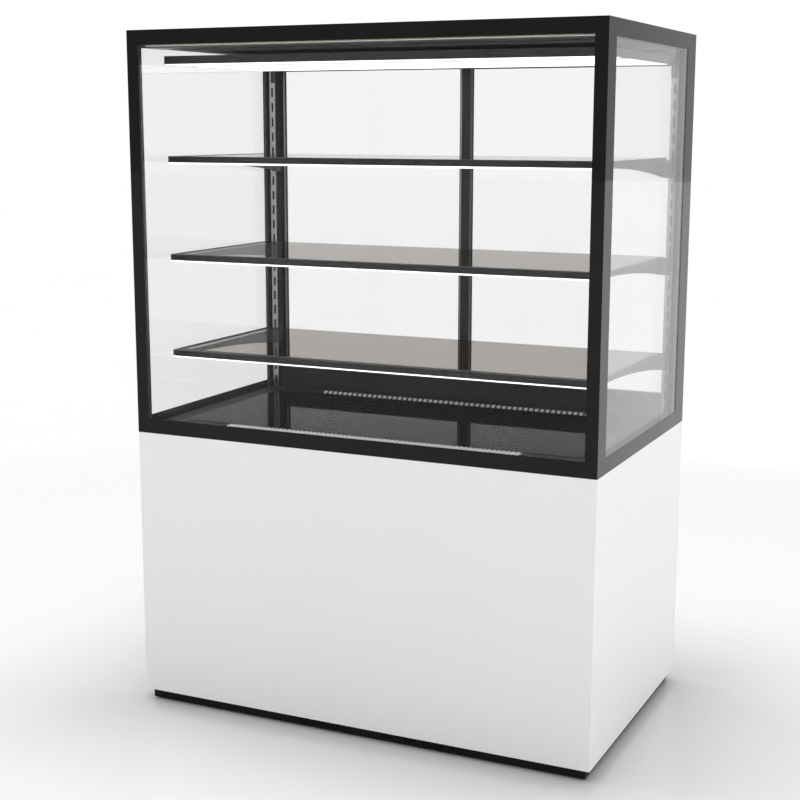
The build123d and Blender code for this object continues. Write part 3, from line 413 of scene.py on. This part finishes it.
# ---------------------------------------------------------------- glazing
W2, D2, ZB, ZT = 500.0, 303.0, 590.0, 1408.0
G = 0.15
T = 4.7
fo = pane("front_pane_outer", [(-W2 + 0.7, -D2 + 0.45), (W2 - 0.7, -D2 + 0.45), (W2 - T - G, -D2 + T), (-W2 + T + G, -D2 + T)], ZB + 0.4, ZT - 0.4, arris=0.1)
fi = pane("front_pane_inner", [(-481.5, -289.7), (481.5, -289.7), (481.5, -285.2), (-481.5, -285.2)], ZB + G, 1402 - G, coated_glass)
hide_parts("front_glass")
for sx, side in ((-1, "left"), (1, "right")):
    so = pane(f"side_pane_outer_{side}", [(sx * (W2 - 0.45), -D2 + 0.7), (sx * (W2 - 0.45), D2 - 0.4), (sx * (W2 - T), D2 - 0.4), (sx * (W2 - T), -D2 + T + G)], ZB + 0.4, ZT - 0.4, arris=0.1)
    si = pane(f"side_pane_inner_{side}", [(sx * 482.0, -289.7), (sx * 486.7, -289.7), (sx * 486.7, 239.8), (sx * 482.0, 239.8)], ZB + G, 1402 - G, coated_glass)
    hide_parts(f"side_glass_{side}")

# black enamelled border of the outer panes, mitred at the corners
BF = dict(side=24.8, top=29.5, bottom=31.0)
BS = dict(front=47.0, rear=63.0, top=32.0, bottom=30.0)


def frame_sheet(bm, outer, inner, plane, axis, thick):
    """A flat rectangular ring of the given thickness; outer and inner are (a0, a1, z0, z1)."""
    def p(a, z, off):
        if axis == "Y":
            return (a * MM, (plane + off) * MM, z * MM)
        return ((plane + off) * MM, a * MM, z * MM)
    rings = []
    for off in (0.0, thick):
        o = [bm.verts.new(p(a, z, off)) for a, z in ((outer[0], outer[2]), (outer[1], outer[2]), (outer[1], outer[3]), (outer[0], outer[3]))]
        i = [bm.verts.new(p(a, z, off)) for a, z in ((inner[0], inner[2]), (inner[1], inner[2]), (inner[1], inner[3]), (inner[0], inner[3]))]
        rings.append((o, i))
    for k in range(4):
        j = (k + 1) % 4
        (o0, i0), (o1, i1) = rings
        bm.faces.new((o0[k], o0[j], i0[j], i0[k]))
        bm.faces.new((o1[k], o1[j], i1[j], i1[k]))
        bm.faces.new((o0[k], o0[j], o1[j], o1[k]))
        bm.faces.new((i0[k], i0[j], i1[j], i1[k]))


bm = bmesh.new()
frame_sheet(bm, (-W2 + 0.35, W2 - 0.35, ZB, ZT), (-W2 + BF["side"], W2 - BF["side"], ZB + BF["bottom"], ZT - BF["top"]), -D2, "Y", 0.38)
front_print = make("enamel_border_front", bm, enamel)
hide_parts("glass_borders")
for sx, side in ((-1, "left"), (1, "right")):
    bm = bmesh.new()
    frame_sheet(bm, (-D2 + 0.02, D2, ZB, ZT), (-D2 + BS["front"], D2 - BS["rear"], ZB + BS["bottom"], ZT - BS["top"]), sx * W2, "X", -sx * 0.38)
    make(f"enamel_border_{side}", bm, enamel)

# black sealing beads beside the front spacer, over the inner panes' ends
sealant = Mat("sealing_bead", grey(0.034), 0.32)
sealant.color_from(sealant.noise(40.0, 4.0), [(0.3, grey(0.028)), (0.7, grey(0.040))])
sealant.rough_from(sealant.noise(160.0, 4.0), 0.26, 0.40)
sealant.bump(sealant.noise(260.0, 3.0, 0.5, (1, 1, 0.3)), 0.25, 0.00006)
for sx, side in ((-1, "left"), (1, "right")):
    bm = bmesh.new()
    face = [(474.5, -297.6), (474.1, -296.6), (474.2, -294.0), (474.7, -291.4), (475.9, -290.2), (478.1, -289.9)]
    pts = [(sx * 482.9, -298.2), (sx * 475.5, -298.2)] + [(sx * a, b) for a, b in face] + [(sx * 482.9, -289.9)]
    add_prism(bm, [(a * MM, b * MM) for a, b in pts], (ZB + 12.4) * MM, 1389.6 * MM)
    make(f"sealing_bead_{side}", bm, sealant)

# ---------------------------------------------------------------- shelves
PITCH = 33.7
SHELVES = [1146.0 - 6 * PITCH * k for k in range(3)]
LEVELS = ("upper", "middle", "lower")


def loft(bm, sections):
    """A closed solid through sections with equal point counts."""
    rows = [[bm.verts.new(p) for p in sec] for sec in sections]
    n = len(rows[0])
    for a, b in zip(rows, rows[1:]):
        for i in range(n):
            j = (i + 1) % n
            bm.faces.new((a[i], a[j], b[j], b[i]))
    bm.faces.new(rows[0][::-1])
    bm.faces.new(rows[-1])
    return rows


def arc(cy, cz, r, a0, a1, n=5):
    return [(cy + r * math.cos(math.radians(a0 + (a1 - a0) * k / n)), cz + r * math.sin(math.radians(a0 + (a1 - a0) * k / n))) for k in range(n + 1)]


def shade(obj, angle=32):
    """Smooth faces, with an edge kept sharp where it turns by more than the angle."""
    mesh = obj.data
    bm = bmesh.new()
    bm.from_mesh(mesh)
    for f in bm.faces:
        f.smooth = True
    for e in bm.edges:
        e.smooth = not (len(e.link_faces) == 2 and e.calc_face_angle(0) > math.radians(angle))
    bm.to_mesh(mesh)
    bm.free()
    return obj


def lathe(bm, cx, cy, profile, seg=48):
    """A closed solid of revolution about a vertical axis; profile is (radius, height), ends on the axis."""
    rows = []
    for r, z in profile:
        if r < 1e-6:
            rows.append([bm.verts.new((cx * MM, cy * MM, z * MM))])
        else:
            rows.append([bm.verts.new(((cx + r * math.cos(2 * math.pi * k / seg)) * MM, (cy + r * math.sin(2 * math.pi * k / seg)) * MM, z * MM)) for k in range(seg)])
    for a, b in zip(rows, rows[1:]):
        for k in range(seg):
            j = (k + 1) % seg
            if len(a) == 1:
                bm.faces.new((a[0], b[j], b[k]))
            elif len(b) == 1:
                bm.faces.new((a[k], a[j], b[0]))
            else:
                bm.faces.new((a[k], a[j], b[j], b[k]))


for k, sz in enumerate(SHELVES):
    top = sz + 12.0
    bm = bmesh.new()
    add_box(bm, -468.4 * MM, 468.4 * MM, -210.8 * MM, 190 * MM, (top - 5.8) * MM, (top - 0.15) * MM)
    bevel_all(bm, 0.8 * MM, 2)
    s = make(f"shelf_pane_{LEVELS[k]}", bm, shelf_glass)
    if k == 0:
        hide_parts("shelf_glasses")
    # ground edge strips along the two ends of the glass
    for sx, side in ((-1, "left"), (1, "right")):
        bm = bmesh.new()
        xa, xb = sorted((sx * 468.55, sx * 469.9))
        add_box(bm, xa * MM, xb * MM, -206.6 * MM, 190 * MM, (top - 5.9) * MM, (top + 0.5) * MM)
        bevel_all(bm, 0.35 * MM, 2)
        shade(make(f"shelf_edge_strip_{LEVELS[k]}_{side}", bm, black_satin))
    # black fired band on the glass along its front edge, over the ledge
    bm = bmesh.new()
    add_box(bm, -467.6 * MM, 467.6 * MM, -206.8 * MM, -189.6 * MM, (top - 0.14) * MM, (top - 0.02) * MM)
    make(f"shelf_band_{LEVELS[k]}", bm, black_matt)
    # front profile: rounded nose, ledge under the glass, radiused ends
    prof = (arc(-212.2, sz + 1.8, 1.8, 270, 180, 4) + arc(-211.2, sz + 10.2, 2.8, 180, 90, 6) +
            [(-207.4, sz + 13.0), (-207.0, sz + 12.7), (-207.0, sz + 12.15), (-211.0, sz + 12.15), (-211.0, sz + 5.95),
             (-190.5, sz + 5.95), (-190.0, sz + 5.4), (-190.0, sz + 0.6), (-190.6, sz)])
    sections = []
    ends = [0.0, 0.3, 0.9, 1.8, 3.2, 5.0, 7.0, 9.0]
    stations = [-470 + d for d in ends] + [470 - d for d in ends[::-1]]
    for x in stations:
        d = min(9.0, 470 - abs(x))
        back_off = 9.0 - math.sqrt(max(0.0, 81.0 - (9.0 - d) ** 2))
        drop = 3.0 - math.sqrt(max(0.0, 9.0 - max(0.0, 3.0 - d) ** 2))
        sections.append([(x * MM, max(y, -214 + 0.7 * back_off) * MM, min(z, sz + 13.0 - 0.8 * drop) * MM) for y, z in prof])
    bm = bmesh.new()
    loft(bm, sections)
    lip = shade(make(f"shelf_lip_{LEVELS[k]}", bm, black_satin), 40)
    if k == 0:
        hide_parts("shelf_front_profiles")

# ---------------------------------------------------------------- roof lining with its front rail
bm = bmesh.new()
add_box(bm, -481.8 * MM, 481.8 * MM, -284.4 * MM, 229 * MM, 1376 * MM, 1378 * MM)
lining = make("roof_lining", bm, grey_liner)
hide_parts("roof_liner")
bm = bmesh.new()
add_prism(bm, [(y * MM, z * MM) for y, z in arc(-283.2, 1374.4, 1.3, 270, 180, 5) + [(-284.5, 1375.9), (-196.0, 1375.9)] + arc(-196.6, 1375.0, 0.6, 0, -90, 3)[0:] + [(-200.0, 1373.9), (-270.0, 1373.9)]], -481.6 * MM, 481.6 * MM, "X")
shade(make("roof_front_rail", bm, rail_grey))
bm = bmesh.new()
add_prism(bm, [(y * MM, z * MM) for y, z in ((-284.95, 1376.0), (-284.55, 1375.95), (-284.55, 1378.9), (-284.95, 1378.9))], -481.4 * MM, 481.4 * MM, "X")
make("roof_edge_trim", bm, polished)

# ---------------------------------------------------------------- canopy: opal lenses that wrap the lower rim of each light bar
for tag, ya, yb in (("bar", -213.6, -140.4), ("panel", -97.6, 179.6)):
    bm = bmesh.new()
    sections = []
    for inset, z in ((3.0, 1343.3), (1.2, 1343.45), (0.35, 1343.9), (0.0, 1344.4)):
        r = 5.0 - inset * 0.6
        ring = []
        for cx, cy, a0 in ((469.7 - inset - r, yb - inset - r, 0), (-469.7 + inset + r, yb - inset - r, 90), (-469.7 + inset + r, ya + inset + r, 180), (469.7 - inset - r, ya + inset + r, 270)):
            for t in range(5):
                ang = math.radians(a0 + 22.5 * t)
                ring.append(((cx + r * math.cos(ang)) * MM, (cy + r * math.sin(ang)) * MM, z * MM))
        sections.append(ring)
    loft(bm, sections)
    lens = shade(make(f"canopy_lens_{tag}", bm, diffuser), 50)

# ---------------------------------------------------------------- deck: pressed hoods over the air slots
def hood(bm, x, half, y0, z0, length, rise, thick):
    """A scoop, closed towards the customer and open towards the staff side."""
    outer, inner = [], []
    for k in range(8):
        t = math.radians(90 * k / 7)
        outer.append((y0 + length * (1 - math.cos(t)), z0 + rise * math.sin(t)))
        inner.append((y0 + thick + (length - thick) * (1 - math.cos(t)), z0 + (rise - thick) * math.sin(t)))
    add_prism(bm, [(y * MM, z * MM) for y, z in outer + inner[::-1]], (x - half) * MM, (x + half) * MM, "X")


hood_steel = Mat("hood_steel", (0.86, 0.85, 0.83), 0.34, 1.0)
hood_steel.color_from(hood_steel.noise(150.0, 4.0, 0.6), [(0.3, (0.80, 0.79, 0.77)), (0.7, (0.90, 0.89, 0.87))])
hood_steel.rough_from(hood_steel.noise(300.0, 3.0, 0.5), 0.28, 0.42)
hood_steel.bump(hood_steel.noise(900.0, 2.0, 0.5), 0.15, 0.00001)
bm = bmesh.new()
for k in range(51):
    hood(bm, -318.75 + 12.75 * k, 3.9, 190.9, 604.05, 7.6, 6.6, 0.35)
shade(make("rear_slot_hoods", bm, hood_steel), 30)
bm = bmesh.new()
for k in range(66):
    for y in (-238.0, -231.0, -224.0):
        hood(bm, -318.5 + 9.8 * k, 2.8, y - 1.55, 604.2, 3.1, 4.6, 0.25)
shade(make("front_slot_hoods", bm, hood_steel), 30)

# ---------------------------------------------------------------- doors
DOOR_Z0, DOOR_Z1 = 618.0, 1376.0
for side, x0, y0 in (("left", -480.0, 258.0), ("right", -13.0, 273.0)):
    body = f"door_{side}"
    bm = bmesh.new()
    add_box(bm, (x0 + 14.2) * MM, (x0 + 478.8) * MM, (y0 + 3.7) * MM, (y0 + 7.3) * MM, 642.2 * MM, 1355.8 * MM)
    bevel_all(bm, 0.5 * MM, 1)
    d = make(f"door_pane_{side}", bm, glass, body)
    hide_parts(f"door_glass_{side}")
    # glazing gasket, both faces
    for face, ya in (("front", y0 + 1.5), ("rear", y0 + 7.55)):
        bm = bmesh.new()
        frame_sheet(bm, (x0 + 20.05, x0 + 472.95, DOOR_Z0 + 28.05, DOOR_Z1 - 26.05), (x0 + 23.6, x0 + 469.4, DOOR_Z0 + 31.6, DOOR_Z1 - 29.6), ya, "Y", 1.95)
        bevel_all(bm, 0.5 * MM, 2)
        shade(make(f"door_gasket_{side}_{face}", bm, gasket_grey, body))
        bm = bmesh.new()
        frame_sheet(bm, (x0 + 23.65, x0 + 469.35, DOOR_Z0 + 31.65, DOOR_Z1 - 29.65), (x0 + 25.6, x0 + 467.4, DOOR_Z0 + 33.6, DOOR_Z1 - 31.6), ya + (0.9 if face == "front" else 0.0), "Y", 1.05)
        bevel_all(bm, 0.35 * MM, 2)
        shade(make(f"gasket_lip_{side}_{face}", bm, sealant, body))
    # finger pull: a slim section with a hooked edge
    xe, xf, sx = (-474.0, -462.0, 1) if side == "left" else (474.0, 462.0, -1)
    yb = y0 + 11.0
    pts = [(0.0, 0.05), (12.0, 0.05), (12.0, 2.7), (11.75, 3.3), (11.2, 3.6), (10.3, 3.6), (9.5, 3.35), (8.7, 2.6), (7.6, 1.75), (6.0, 1.3), (3.0, 1.1), (0.5, 1.0), (0.0, 0.6)]
    bm = bmesh.new()
    loft(bm, [[((xe + sx * (a if inset == 0 else min(max(a, 0.5), 11.5))) * MM, (yb + (b if inset == 0 else min(b, 3.1))) * MM, z * MM) for a, b in pts]
              for z, inset in ((880.0, 1), (880.8, 0), (1159.2, 0), (1160.0, 1))])
    pull = shade(make(f"finger_pull_{side}", bm, plastic, body))
    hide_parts(f"door_pull_{side}")

# ---------------------------------------------------------------- louvre hoods on the service cover
bm = bmesh.new()
for xc in (-250.0, -150.0, 150.0, 250.0):
    for row in range(14):
        zc = 110.0 + 16.0 * row
        grids = []
        for shrink in (0.0, 0.7):
            g = []
            for i in range(15):
                u = -1 + 2 * i / 14
                bulge = max(0.04, (1 - abs(u) ** 3.2)) ** 0.55
                h = max(0.06, 3.3 * bulge - shrink)
                zt = zc + 2.4 + max(0.06, 4.6 * bulge - shrink)
                zb = zc - 2.4
                g.append([bm.verts.new(((xc + u * (42.0 - shrink)) * MM, (298.0 + h * math.cos(math.radians(18 * j))) * MM, (zb + (zt - zb) * math.sin(math.radians(18 * j))) * MM)) for j in range(6)])
            grids.append(g)
        o, n = grids
        for i in range(14):
            for j in range(5):
                bm.faces.new((o[i][j], o[i + 1][j], o[i + 1][j + 1], o[i][j + 1]))
                bm.faces.new((n[i][j], n[i][j + 1], n[i + 1][j + 1], n[i + 1][j]))
            bm.faces.new((o[i][0], n[i][0], n[i + 1][0], o[i + 1][0]))
            bm.faces.new((o[i][5], o[i + 1][5], n[i + 1][5], n[i][5]))
        for i in (0, 14):
            for j in range(5):
                bm.faces.new((o[i][j], o[i][j + 1], n[i][j + 1], n[i][j]))
shade(make("louvre_hoods", bm, white_coat), 50)

# ---------------------------------------------------------------- controller face
CX, CZ, FACE = -330.0, 525.0, 301.0
bm = bmesh.new()
add_prism(bm, [(x * MM, z * MM) for x, z in [(-351.5 + a, CZ + b) for a, b in
          [(12.3 - 1.5 + 1.5 * math.cos(t), 8.8 - 1.5 + 1.5 * math.sin(t)) for t in (0, 0.5, 1.05, 1.57)] +
          [(-12.3 + 1.5 + 1.5 * math.cos(t), 8.8 - 1.5 + 1.5 * math.sin(t)) for t in (1.57, 2.1, 2.6, 3.14)] +
          [(-12.3 + 1.5 + 1.5 * math.cos(t), -8.8 + 1.5 + 1.5 * math.sin(t)) for t in (3.14, 3.7, 4.2, 4.71)] +
          [(12.3 - 1.5 + 1.5 * math.cos(t), -8.8 + 1.5 + 1.5 * math.sin(t)) for t in (4.71, 5.2, 5.8, 6.28)]]], (FACE - 0.62) * MM, (FACE - 0.2) * MM, "Y")
make("display_window", bm, display_glass)
SEG = {"a": (0, 1, 1, 1), "b": (1, 1, 1, 0), "c": (1, 0, 1, -1), "d": (0, -1, 1, -1), "e": (0, 0, 0, -1), "f": (0, 1, 0, 0), "g": (0, 0, 1, 0)}
H7, W7, T7 = 4.6, 4.6, 0.55


def seven(bm, cx, cz, lit):
    """One seven segment figure, read from the staff side, where +X is on the left."""
    for key, (c0, r0, c1, r1) in SEG.items():
        if key not in lit:
            continue
        if key in "adg":
            r = {"a": 1, "d": -1, "g": 0}[key]
            pts = [(-W7 / 2 + 0.75, 0), (-W7 / 2 + 1.2, T7 * 0.8), (W7 / 2 - 1.2, T7 * 0.8), (W7 / 2 - 0.75, 0), (W7 / 2 - 1.2, -T7 * 0.8), (-W7 / 2 + 1.2, -T7 * 0.8)]
            pts = [(cx + a, cz + r * H7 + b) for a, b in pts]
        else:
            col = -1 if key in "bc" else 1
            row = 1 if key in "bf" else -1
            pts = [(0, 0.5), (T7 * 0.8, 0.95), (T7 * 0.8, H7 - 0.95), (0, H7 - 0.5), (-T7 * 0.8, H7 - 0.95), (-T7 * 0.8, 0.95)]
            pts = [(cx + col * (W7 / 2 - 0.35) + a, cz + (b if row > 0 else b - H7)) for a, b in pts]
        add_prism(bm, [(a * MM, b * MM) for a, b in pts], (FACE - 0.19) * MM, (FACE - 0.12) * MM, "Y")


bm = bmesh.new()
seven(bm, -347.4, CZ, "acdefg")
seven(bm, -355.6, CZ, "acdfg")
make("display_figures", bm, led_red)
bm = bmesh.new()
lathe_pts = [(0.62 * math.cos(t * math.pi / 8), 0.62 * math.sin(t * math.pi / 8)) for t in range(16)]
for zz in (CZ - 6.2, CZ, CZ + 6.2):
    add_prism(bm, [((-361.6 + a) * MM, (zz + b) * MM) for a, b in lathe_pts], (FACE - 0.19) * MM, (FACE - 0.12) * MM, "Y")
make("display_lamps", bm, led_red)
for node, body, x in (("key_set", "set_key", -332.0), ("key_down", "down_key", -318.0), ("key_up", "up_key", -304.0)):
    bm = bmesh.new()
    ya, yb = 302.22 * MM, 302.34 * MM
    if node == "key_set":
        ring = 20
        o = [(x + 2.2 * math.cos(2 * math.pi * t / ring), CZ + 2.2 * math.sin(2 * math.pi * t / ring)) for t in range(ring)]
        i = [(x + 1.45 * math.cos(2 * math.pi * t / ring), CZ + 1.45 * math.sin(2 * math.pi * t / ring)) for t in range(ring)]
        rows = [[bm.verts.new((a * MM, y, b * MM)) for a, b in r] for y in (ya, yb) for r in (o, i)]
        for t in range(ring):
            u = (t + 1) % ring
            bm.faces.new((rows[0][t], rows[0][u], rows[1][u], rows[1][t]))
            bm.faces.new((rows[2][t], rows[2][u], rows[3][u], rows[3][t]))
            bm.faces.new((rows[0][t], rows[0][u], rows[2][u], rows[2][t]))
            bm.faces.new((rows[1][t], rows[1][u], rows[3][u], rows[3][t]))
        add_prism(bm, [((x + 0.55 * math.cos(2 * math.pi * t / 12)) * MM, (CZ + 0.55 * math.sin(2 * math.pi * t / 12)) * MM) for t in range(12)], ya, yb, "Y")
    else:
        f = 1 if node == "key_up" else -1
        add_prism(bm, [((x + a) * MM, (CZ + f * b) * MM) for a, b in ((-2.2, -1.5), (2.2, -1.5), (2.3, -1.3), (0.25, 1.95), (-0.25, 1.95), (-2.3, -1.3))], ya, yb, "Y")
    make(f"{node}_mark", bm, mark_white, body)

# ---------------------------------------------------------------- marks on the two rockers
for body, x in (("power_switch", -245.0), ("light_switch", -205.0)):
    bm = bmesh.new()
    add_prism(bm, [(a * MM, b * MM) for a, b in ((x - 0.42, 525 + 1.3), (x + 0.42, 525 + 1.3), (x + 0.42, 525 + 4.1), (x - 0.42, 525 + 4.1))], 0.0, 0.12 * MM, "Y")
    ring = 24
    rows = []
    for y in (0.0, 0.12 * MM):
        for r in (1.45, 0.95):
            rows.append([bm.verts.new(((x + r * math.cos(2 * math.pi * t / ring)) * MM, y, (525 - 2.7 + r * math.sin(2 * math.pi * t / ring)) * MM)) for t in range(ring)])
    for t in range(ring):
        u = (t + 1) % ring
        bm.faces.new((rows[0][t], rows[0][u], rows[1][u], rows[1][t]))
        bm.faces.new((rows[2][t], rows[2][u], rows[3][u], rows[3][t]))
        bm.faces.new((rows[0][t], rows[0][u], rows[2][u], rows[2][t]))
        bm.faces.new((rows[1][t], rows[1][u], rows[3][u], rows[3][t]))
    for v in bm.verts:  # lay the marks on the two slopes of the rocker, then tilt with it
        dz = v.co.z - 0.525
        v.co.y += 0.295 + 0.0044 + abs(dz) / 5.2 + 0.00004
        y, z = v.co.y - 0.295, v.co.z - 0.525
        c, sn = math.cos(math.radians(-12)), math.sin(math.radians(-12))
        v.co.y, v.co.z = 0.295 + y * c - z * sn, 0.525 + y * sn + z * c
    make(f"{body}_marks", bm, mark_white, body)

# ---------------------------------------------------------------- levelling feet
for name, fx, fy in (("front_left", -430.0, -240.0), ("front_right", 430.0, -240.0), ("rear_left", -430.0, 225.0), ("rear_right", 430.0, 225.0)):
    body = f"foot_{name}"
    bm = bmesh.new()
    lathe(bm, fx, fy, [(0, 0.9), (21.0, 0.9), (21.4, 0.0), (23.6, 0.0), (24.6, 0.6), (25.0, 1.5), (25.0, 4.4), (24.5, 5.5), (23.4, 6.1), (13.6, 10.4), (12.2, 10.9), (10.5, 11.0), (0, 11.0)], 64)
    pad = shade(make(f"foot_pad_{name}", bm, rubber, body), 40)
    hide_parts(f"levelling_foot_{name}")
    bm = bmesh.new()
    hexa = [(fx + 9.45 * math.cos(math.radians(60 * t)), fy + 9.45 * math.sin(math.radians(60 * t))) for t in range(6)]
    add_prism(bm, [(a * MM, b * MM) for a, b in hexa], 11.05 * MM, 19.0 * MM)
    bevel_all(bm, 0.7 * MM, 2)
    shade(make(f"foot_hex_{name}", bm, zinc, body), 30)
    bm = bmesh.new()
    seg, pitch = 24, 1.5
    rows = []
    steps = int((59.5 - 19.0) / 0.25)
    for i in range(steps + 1):
        z = 19.05 + 0.25 * i
        row = []
        for t in range(seg):
            ph = (z / pitch - t / seg) % 1.0
            depth = 0.75 * abs(2 * ph - 1)
            r = 4.96 - depth if 19.8 < z < 59.0 else 4.2
            row.append(bm.verts.new(((fx + r * math.cos(2 * math.pi * t / seg)) * MM, (fy + r * math.sin(2 * math.pi * t / seg)) * MM, z * MM)))
        rows.append(row)
    for a, b in zip(rows, rows[1:]):
        for t in range(seg):
            u = (t + 1) % seg
            bm.faces.new((a[t], a[u], b[u], b[t]))
    bm.faces.new(rows[0][::-1])
    bm.faces.new(rows[-1])
    shade(make(f"foot_stud_{name}", bm, zinc, body), 60)

# ---------------------------------------------------------------- light and floor
# Soft studio: strengths every 45 degrees of azimuth, clockwise from the staff side,
# for a low and a middle belt of the sky, and one for the top.
LOW = (0.82, 0.06, 1.16, 2.05, 0.10, 0.08, 0.38, 1.12)
MID = (0.42, 1.54, 0.10, 0.63, 0.16, 0.36, 2.87, 0.46)
TOP = 1.55
BACKDROP = 1.03
world = bpy.data.worlds.new("world")
SCENE.world = world
world.use_nodes = True
wt = world.node_tree
wt.nodes.clear()


def w_node(kind, op=None, **values):
    n = wt.nodes.new(kind)
    if op:
        n.operation = op
    for k, v in values.items():
        sock = n.inputs[k.replace("_", " ")] if not k.startswith("i") or not k[1:].isdigit() else n.inputs[int(k[1:])]
        if hasattr(v, "is_output"):
            wt.links.new(v, sock)
        else:
            sock.default_value = v
    return n


def w_math(op, *values):
    return w_node("ShaderNodeMath", op, **{f"i{k}": v for k, v in enumerate(values)}).outputs[0]


def w_smooth(value, lo, hi):
    n = w_node("ShaderNodeMapRange", Value=value, From_Min=lo, From_Max=hi)
    n.interpolation_type = "SMOOTHSTEP"
    return n.outputs["Result"]


def w_belt(turn, values):
    r = w_node("ShaderNodeValToRGB", Fac=turn)
    r.color_ramp.interpolation = "EASE"
    stops = r.color_ramp.elements
    for k in range(1, 8):
        stops.new(k / 8)
    for k in range(9):
        stops[k].color = (*[values[k % 8] / 4.0] * 3, 1)
    return w_math("MULTIPLY", r.outputs["Color"], 4.0)


w_out = wt.nodes.new("ShaderNodeOutputWorld")
w_bg = wt.nodes.new("ShaderNodeBackground")
w_co = wt.nodes.new("ShaderNodeTexCoord")
w_xyz = w_node("ShaderNodeSeparateXYZ", i0=w_co.outputs["Generated"])
turn = w_math("FRACT", w_math("ADD", w_math("DIVIDE", w_math("ARCTAN2", w_xyz.outputs["X"], w_xyz.outputs["Y"]), 2 * math.pi), 1.0))
lift = w_smooth(w_xyz.outputs["Z"], 0.08, 0.35)
zenith = w_smooth(w_xyz.outputs["Z"], 0.55, 0.85)
sky_low = w_math("MULTIPLY", w_belt(turn, LOW), w_math("SUBTRACT", 1.0, lift))
sky_mid = w_math("MULTIPLY", w_math("MULTIPLY", w_belt(turn, MID), lift), w_math("SUBTRACT", 1.0, zenith))
sky = w_math("ADD", w_math("ADD", sky_low, sky_mid), w_math("MULTIPLY", zenith, TOP))
# the backdrop itself is an even white, seen directly and through the glass
w_path = wt.nodes.new("ShaderNodeLightPath")
seen = w_math("MAXIMUM", w_path.outputs["Is Camera Ray"], w_path.outputs["Is Transmission Ray"])
strength = w_math("ADD", w_math("MULTIPLY", sky, w_math("SUBTRACT", 1.0, seen)), w_math("MULTIPLY", seen, BACKDROP))
w_bg.inputs["Color"].default_value = (1, 1, 1, 1)
wt.links.new(strength, w_bg.inputs["Strength"])
wt.links.new(w_bg.outputs[0], w_out.inputs[0])

floor_mat = Mat("floor_pale", (0.86, 0.86, 0.865), 0.25)
floor_mat.color_from(floor_mat.noise(0.6, 2.0), [(0.3, (0.855, 0.857, 0.862)), (0.7, (0.87, 0.872, 0.876))])
floor_mat.rough_from(floor_mat.noise(3.0, 3.0), 0.16, 0.22)
# painted contact shadow: the floor colour is a little darker close round the footprint, paler far out
fx = floor_mat.node("ShaderNodeSeparateXYZ")
floor_mat.link(floor_mat.coord.outputs["Object"], fx.inputs[0])


def floor_math(op, *values):
    n = floor_mat.node("ShaderNodeMath", operation=op)
    for k, v in enumerate(values):
        if hasattr(v, "is_output"):
            floor_mat.link(v, n.inputs[k])
        else:
            n.inputs[k].default_value = v
    return n.outputs[0]


gap_x = floor_math("MAXIMUM", floor_math("SUBTRACT", floor_math("ABSOLUTE", fx.outputs["X"]), 0.50), 0.0)
gap_y = floor_math("MAXIMUM", floor_math("SUBTRACT", floor_math("ABSOLUTE", fx.outputs["Y"]), 0.30), 0.0)
gap = floor_math("SQRT", floor_math("ADD", floor_math("MULTIPLY", gap_x, gap_x), floor_math("MULTIPLY", gap_y, gap_y)))
# painted shadow ramp on the floor colour by distance from the footprint: darkest at the footprint, brightest about 0.7
# m out, a little darker again further away
painted_shadow_pool = floor_mat.ramp(floor_math("DIVIDE", gap, 5.0), [(0.0, grey(0.64)), (0.02, grey(0.71)), (0.045, grey(0.80)), (0.09, grey(0.895)),
                                                       (0.14, grey(0.915)), (0.30, grey(0.87)), (0.44, grey(0.850)), (1.0, grey(0.850))])
# random floor tone multiplied by the painted shadow ramp
noise_tone_and_painted_shadow = floor_mat.node("ShaderNodeMix", data_type="RGBA", blend_type="MULTIPLY")
noise_tone_and_painted_shadow.inputs["Factor"].default_value = 1.0
floor_mat.link(floor_mat.ramp(floor_mat.noise(0.6, 2.0), [(0.3, (0.990, 0.992, 0.997)), (0.7, (1.0, 1.0, 1.0))]), noise_tone_and_painted_shadow.inputs["A"])
floor_mat.link(painted_shadow_pool, noise_tone_and_painted_shadow.inputs["B"])
floor_mat.link(noise_tone_and_painted_shadow.outputs["Result"], floor_mat.p.inputs["Base Color"])
sheen_out = floor_mat.node("ShaderNodeMapRange")
for k, v in (("From Min", 0.5), ("From Max", 2.2), ("To Min", 0.5), ("To Max", 0.0)):
    sheen_out.inputs[k].default_value = v
floor_mat.link(gap, sheen_out.inputs["Value"])
floor_mat.link(sheen_out.outputs["Result"], floor_mat.p.inputs["Specular IOR Level"])
bm = bmesh.new()
bmesh.ops.create_grid(bm, x_segments=8, y_segments=8, size=30.0)
mesh = bpy.data.meshes.new("floor")
bm.to_mesh(mesh)
bm.free()
floor = bpy.data.objects.new("floor", mesh)
SCENE.collection.objects.link(floor)
floor.data.materials.append(floor_mat.m)
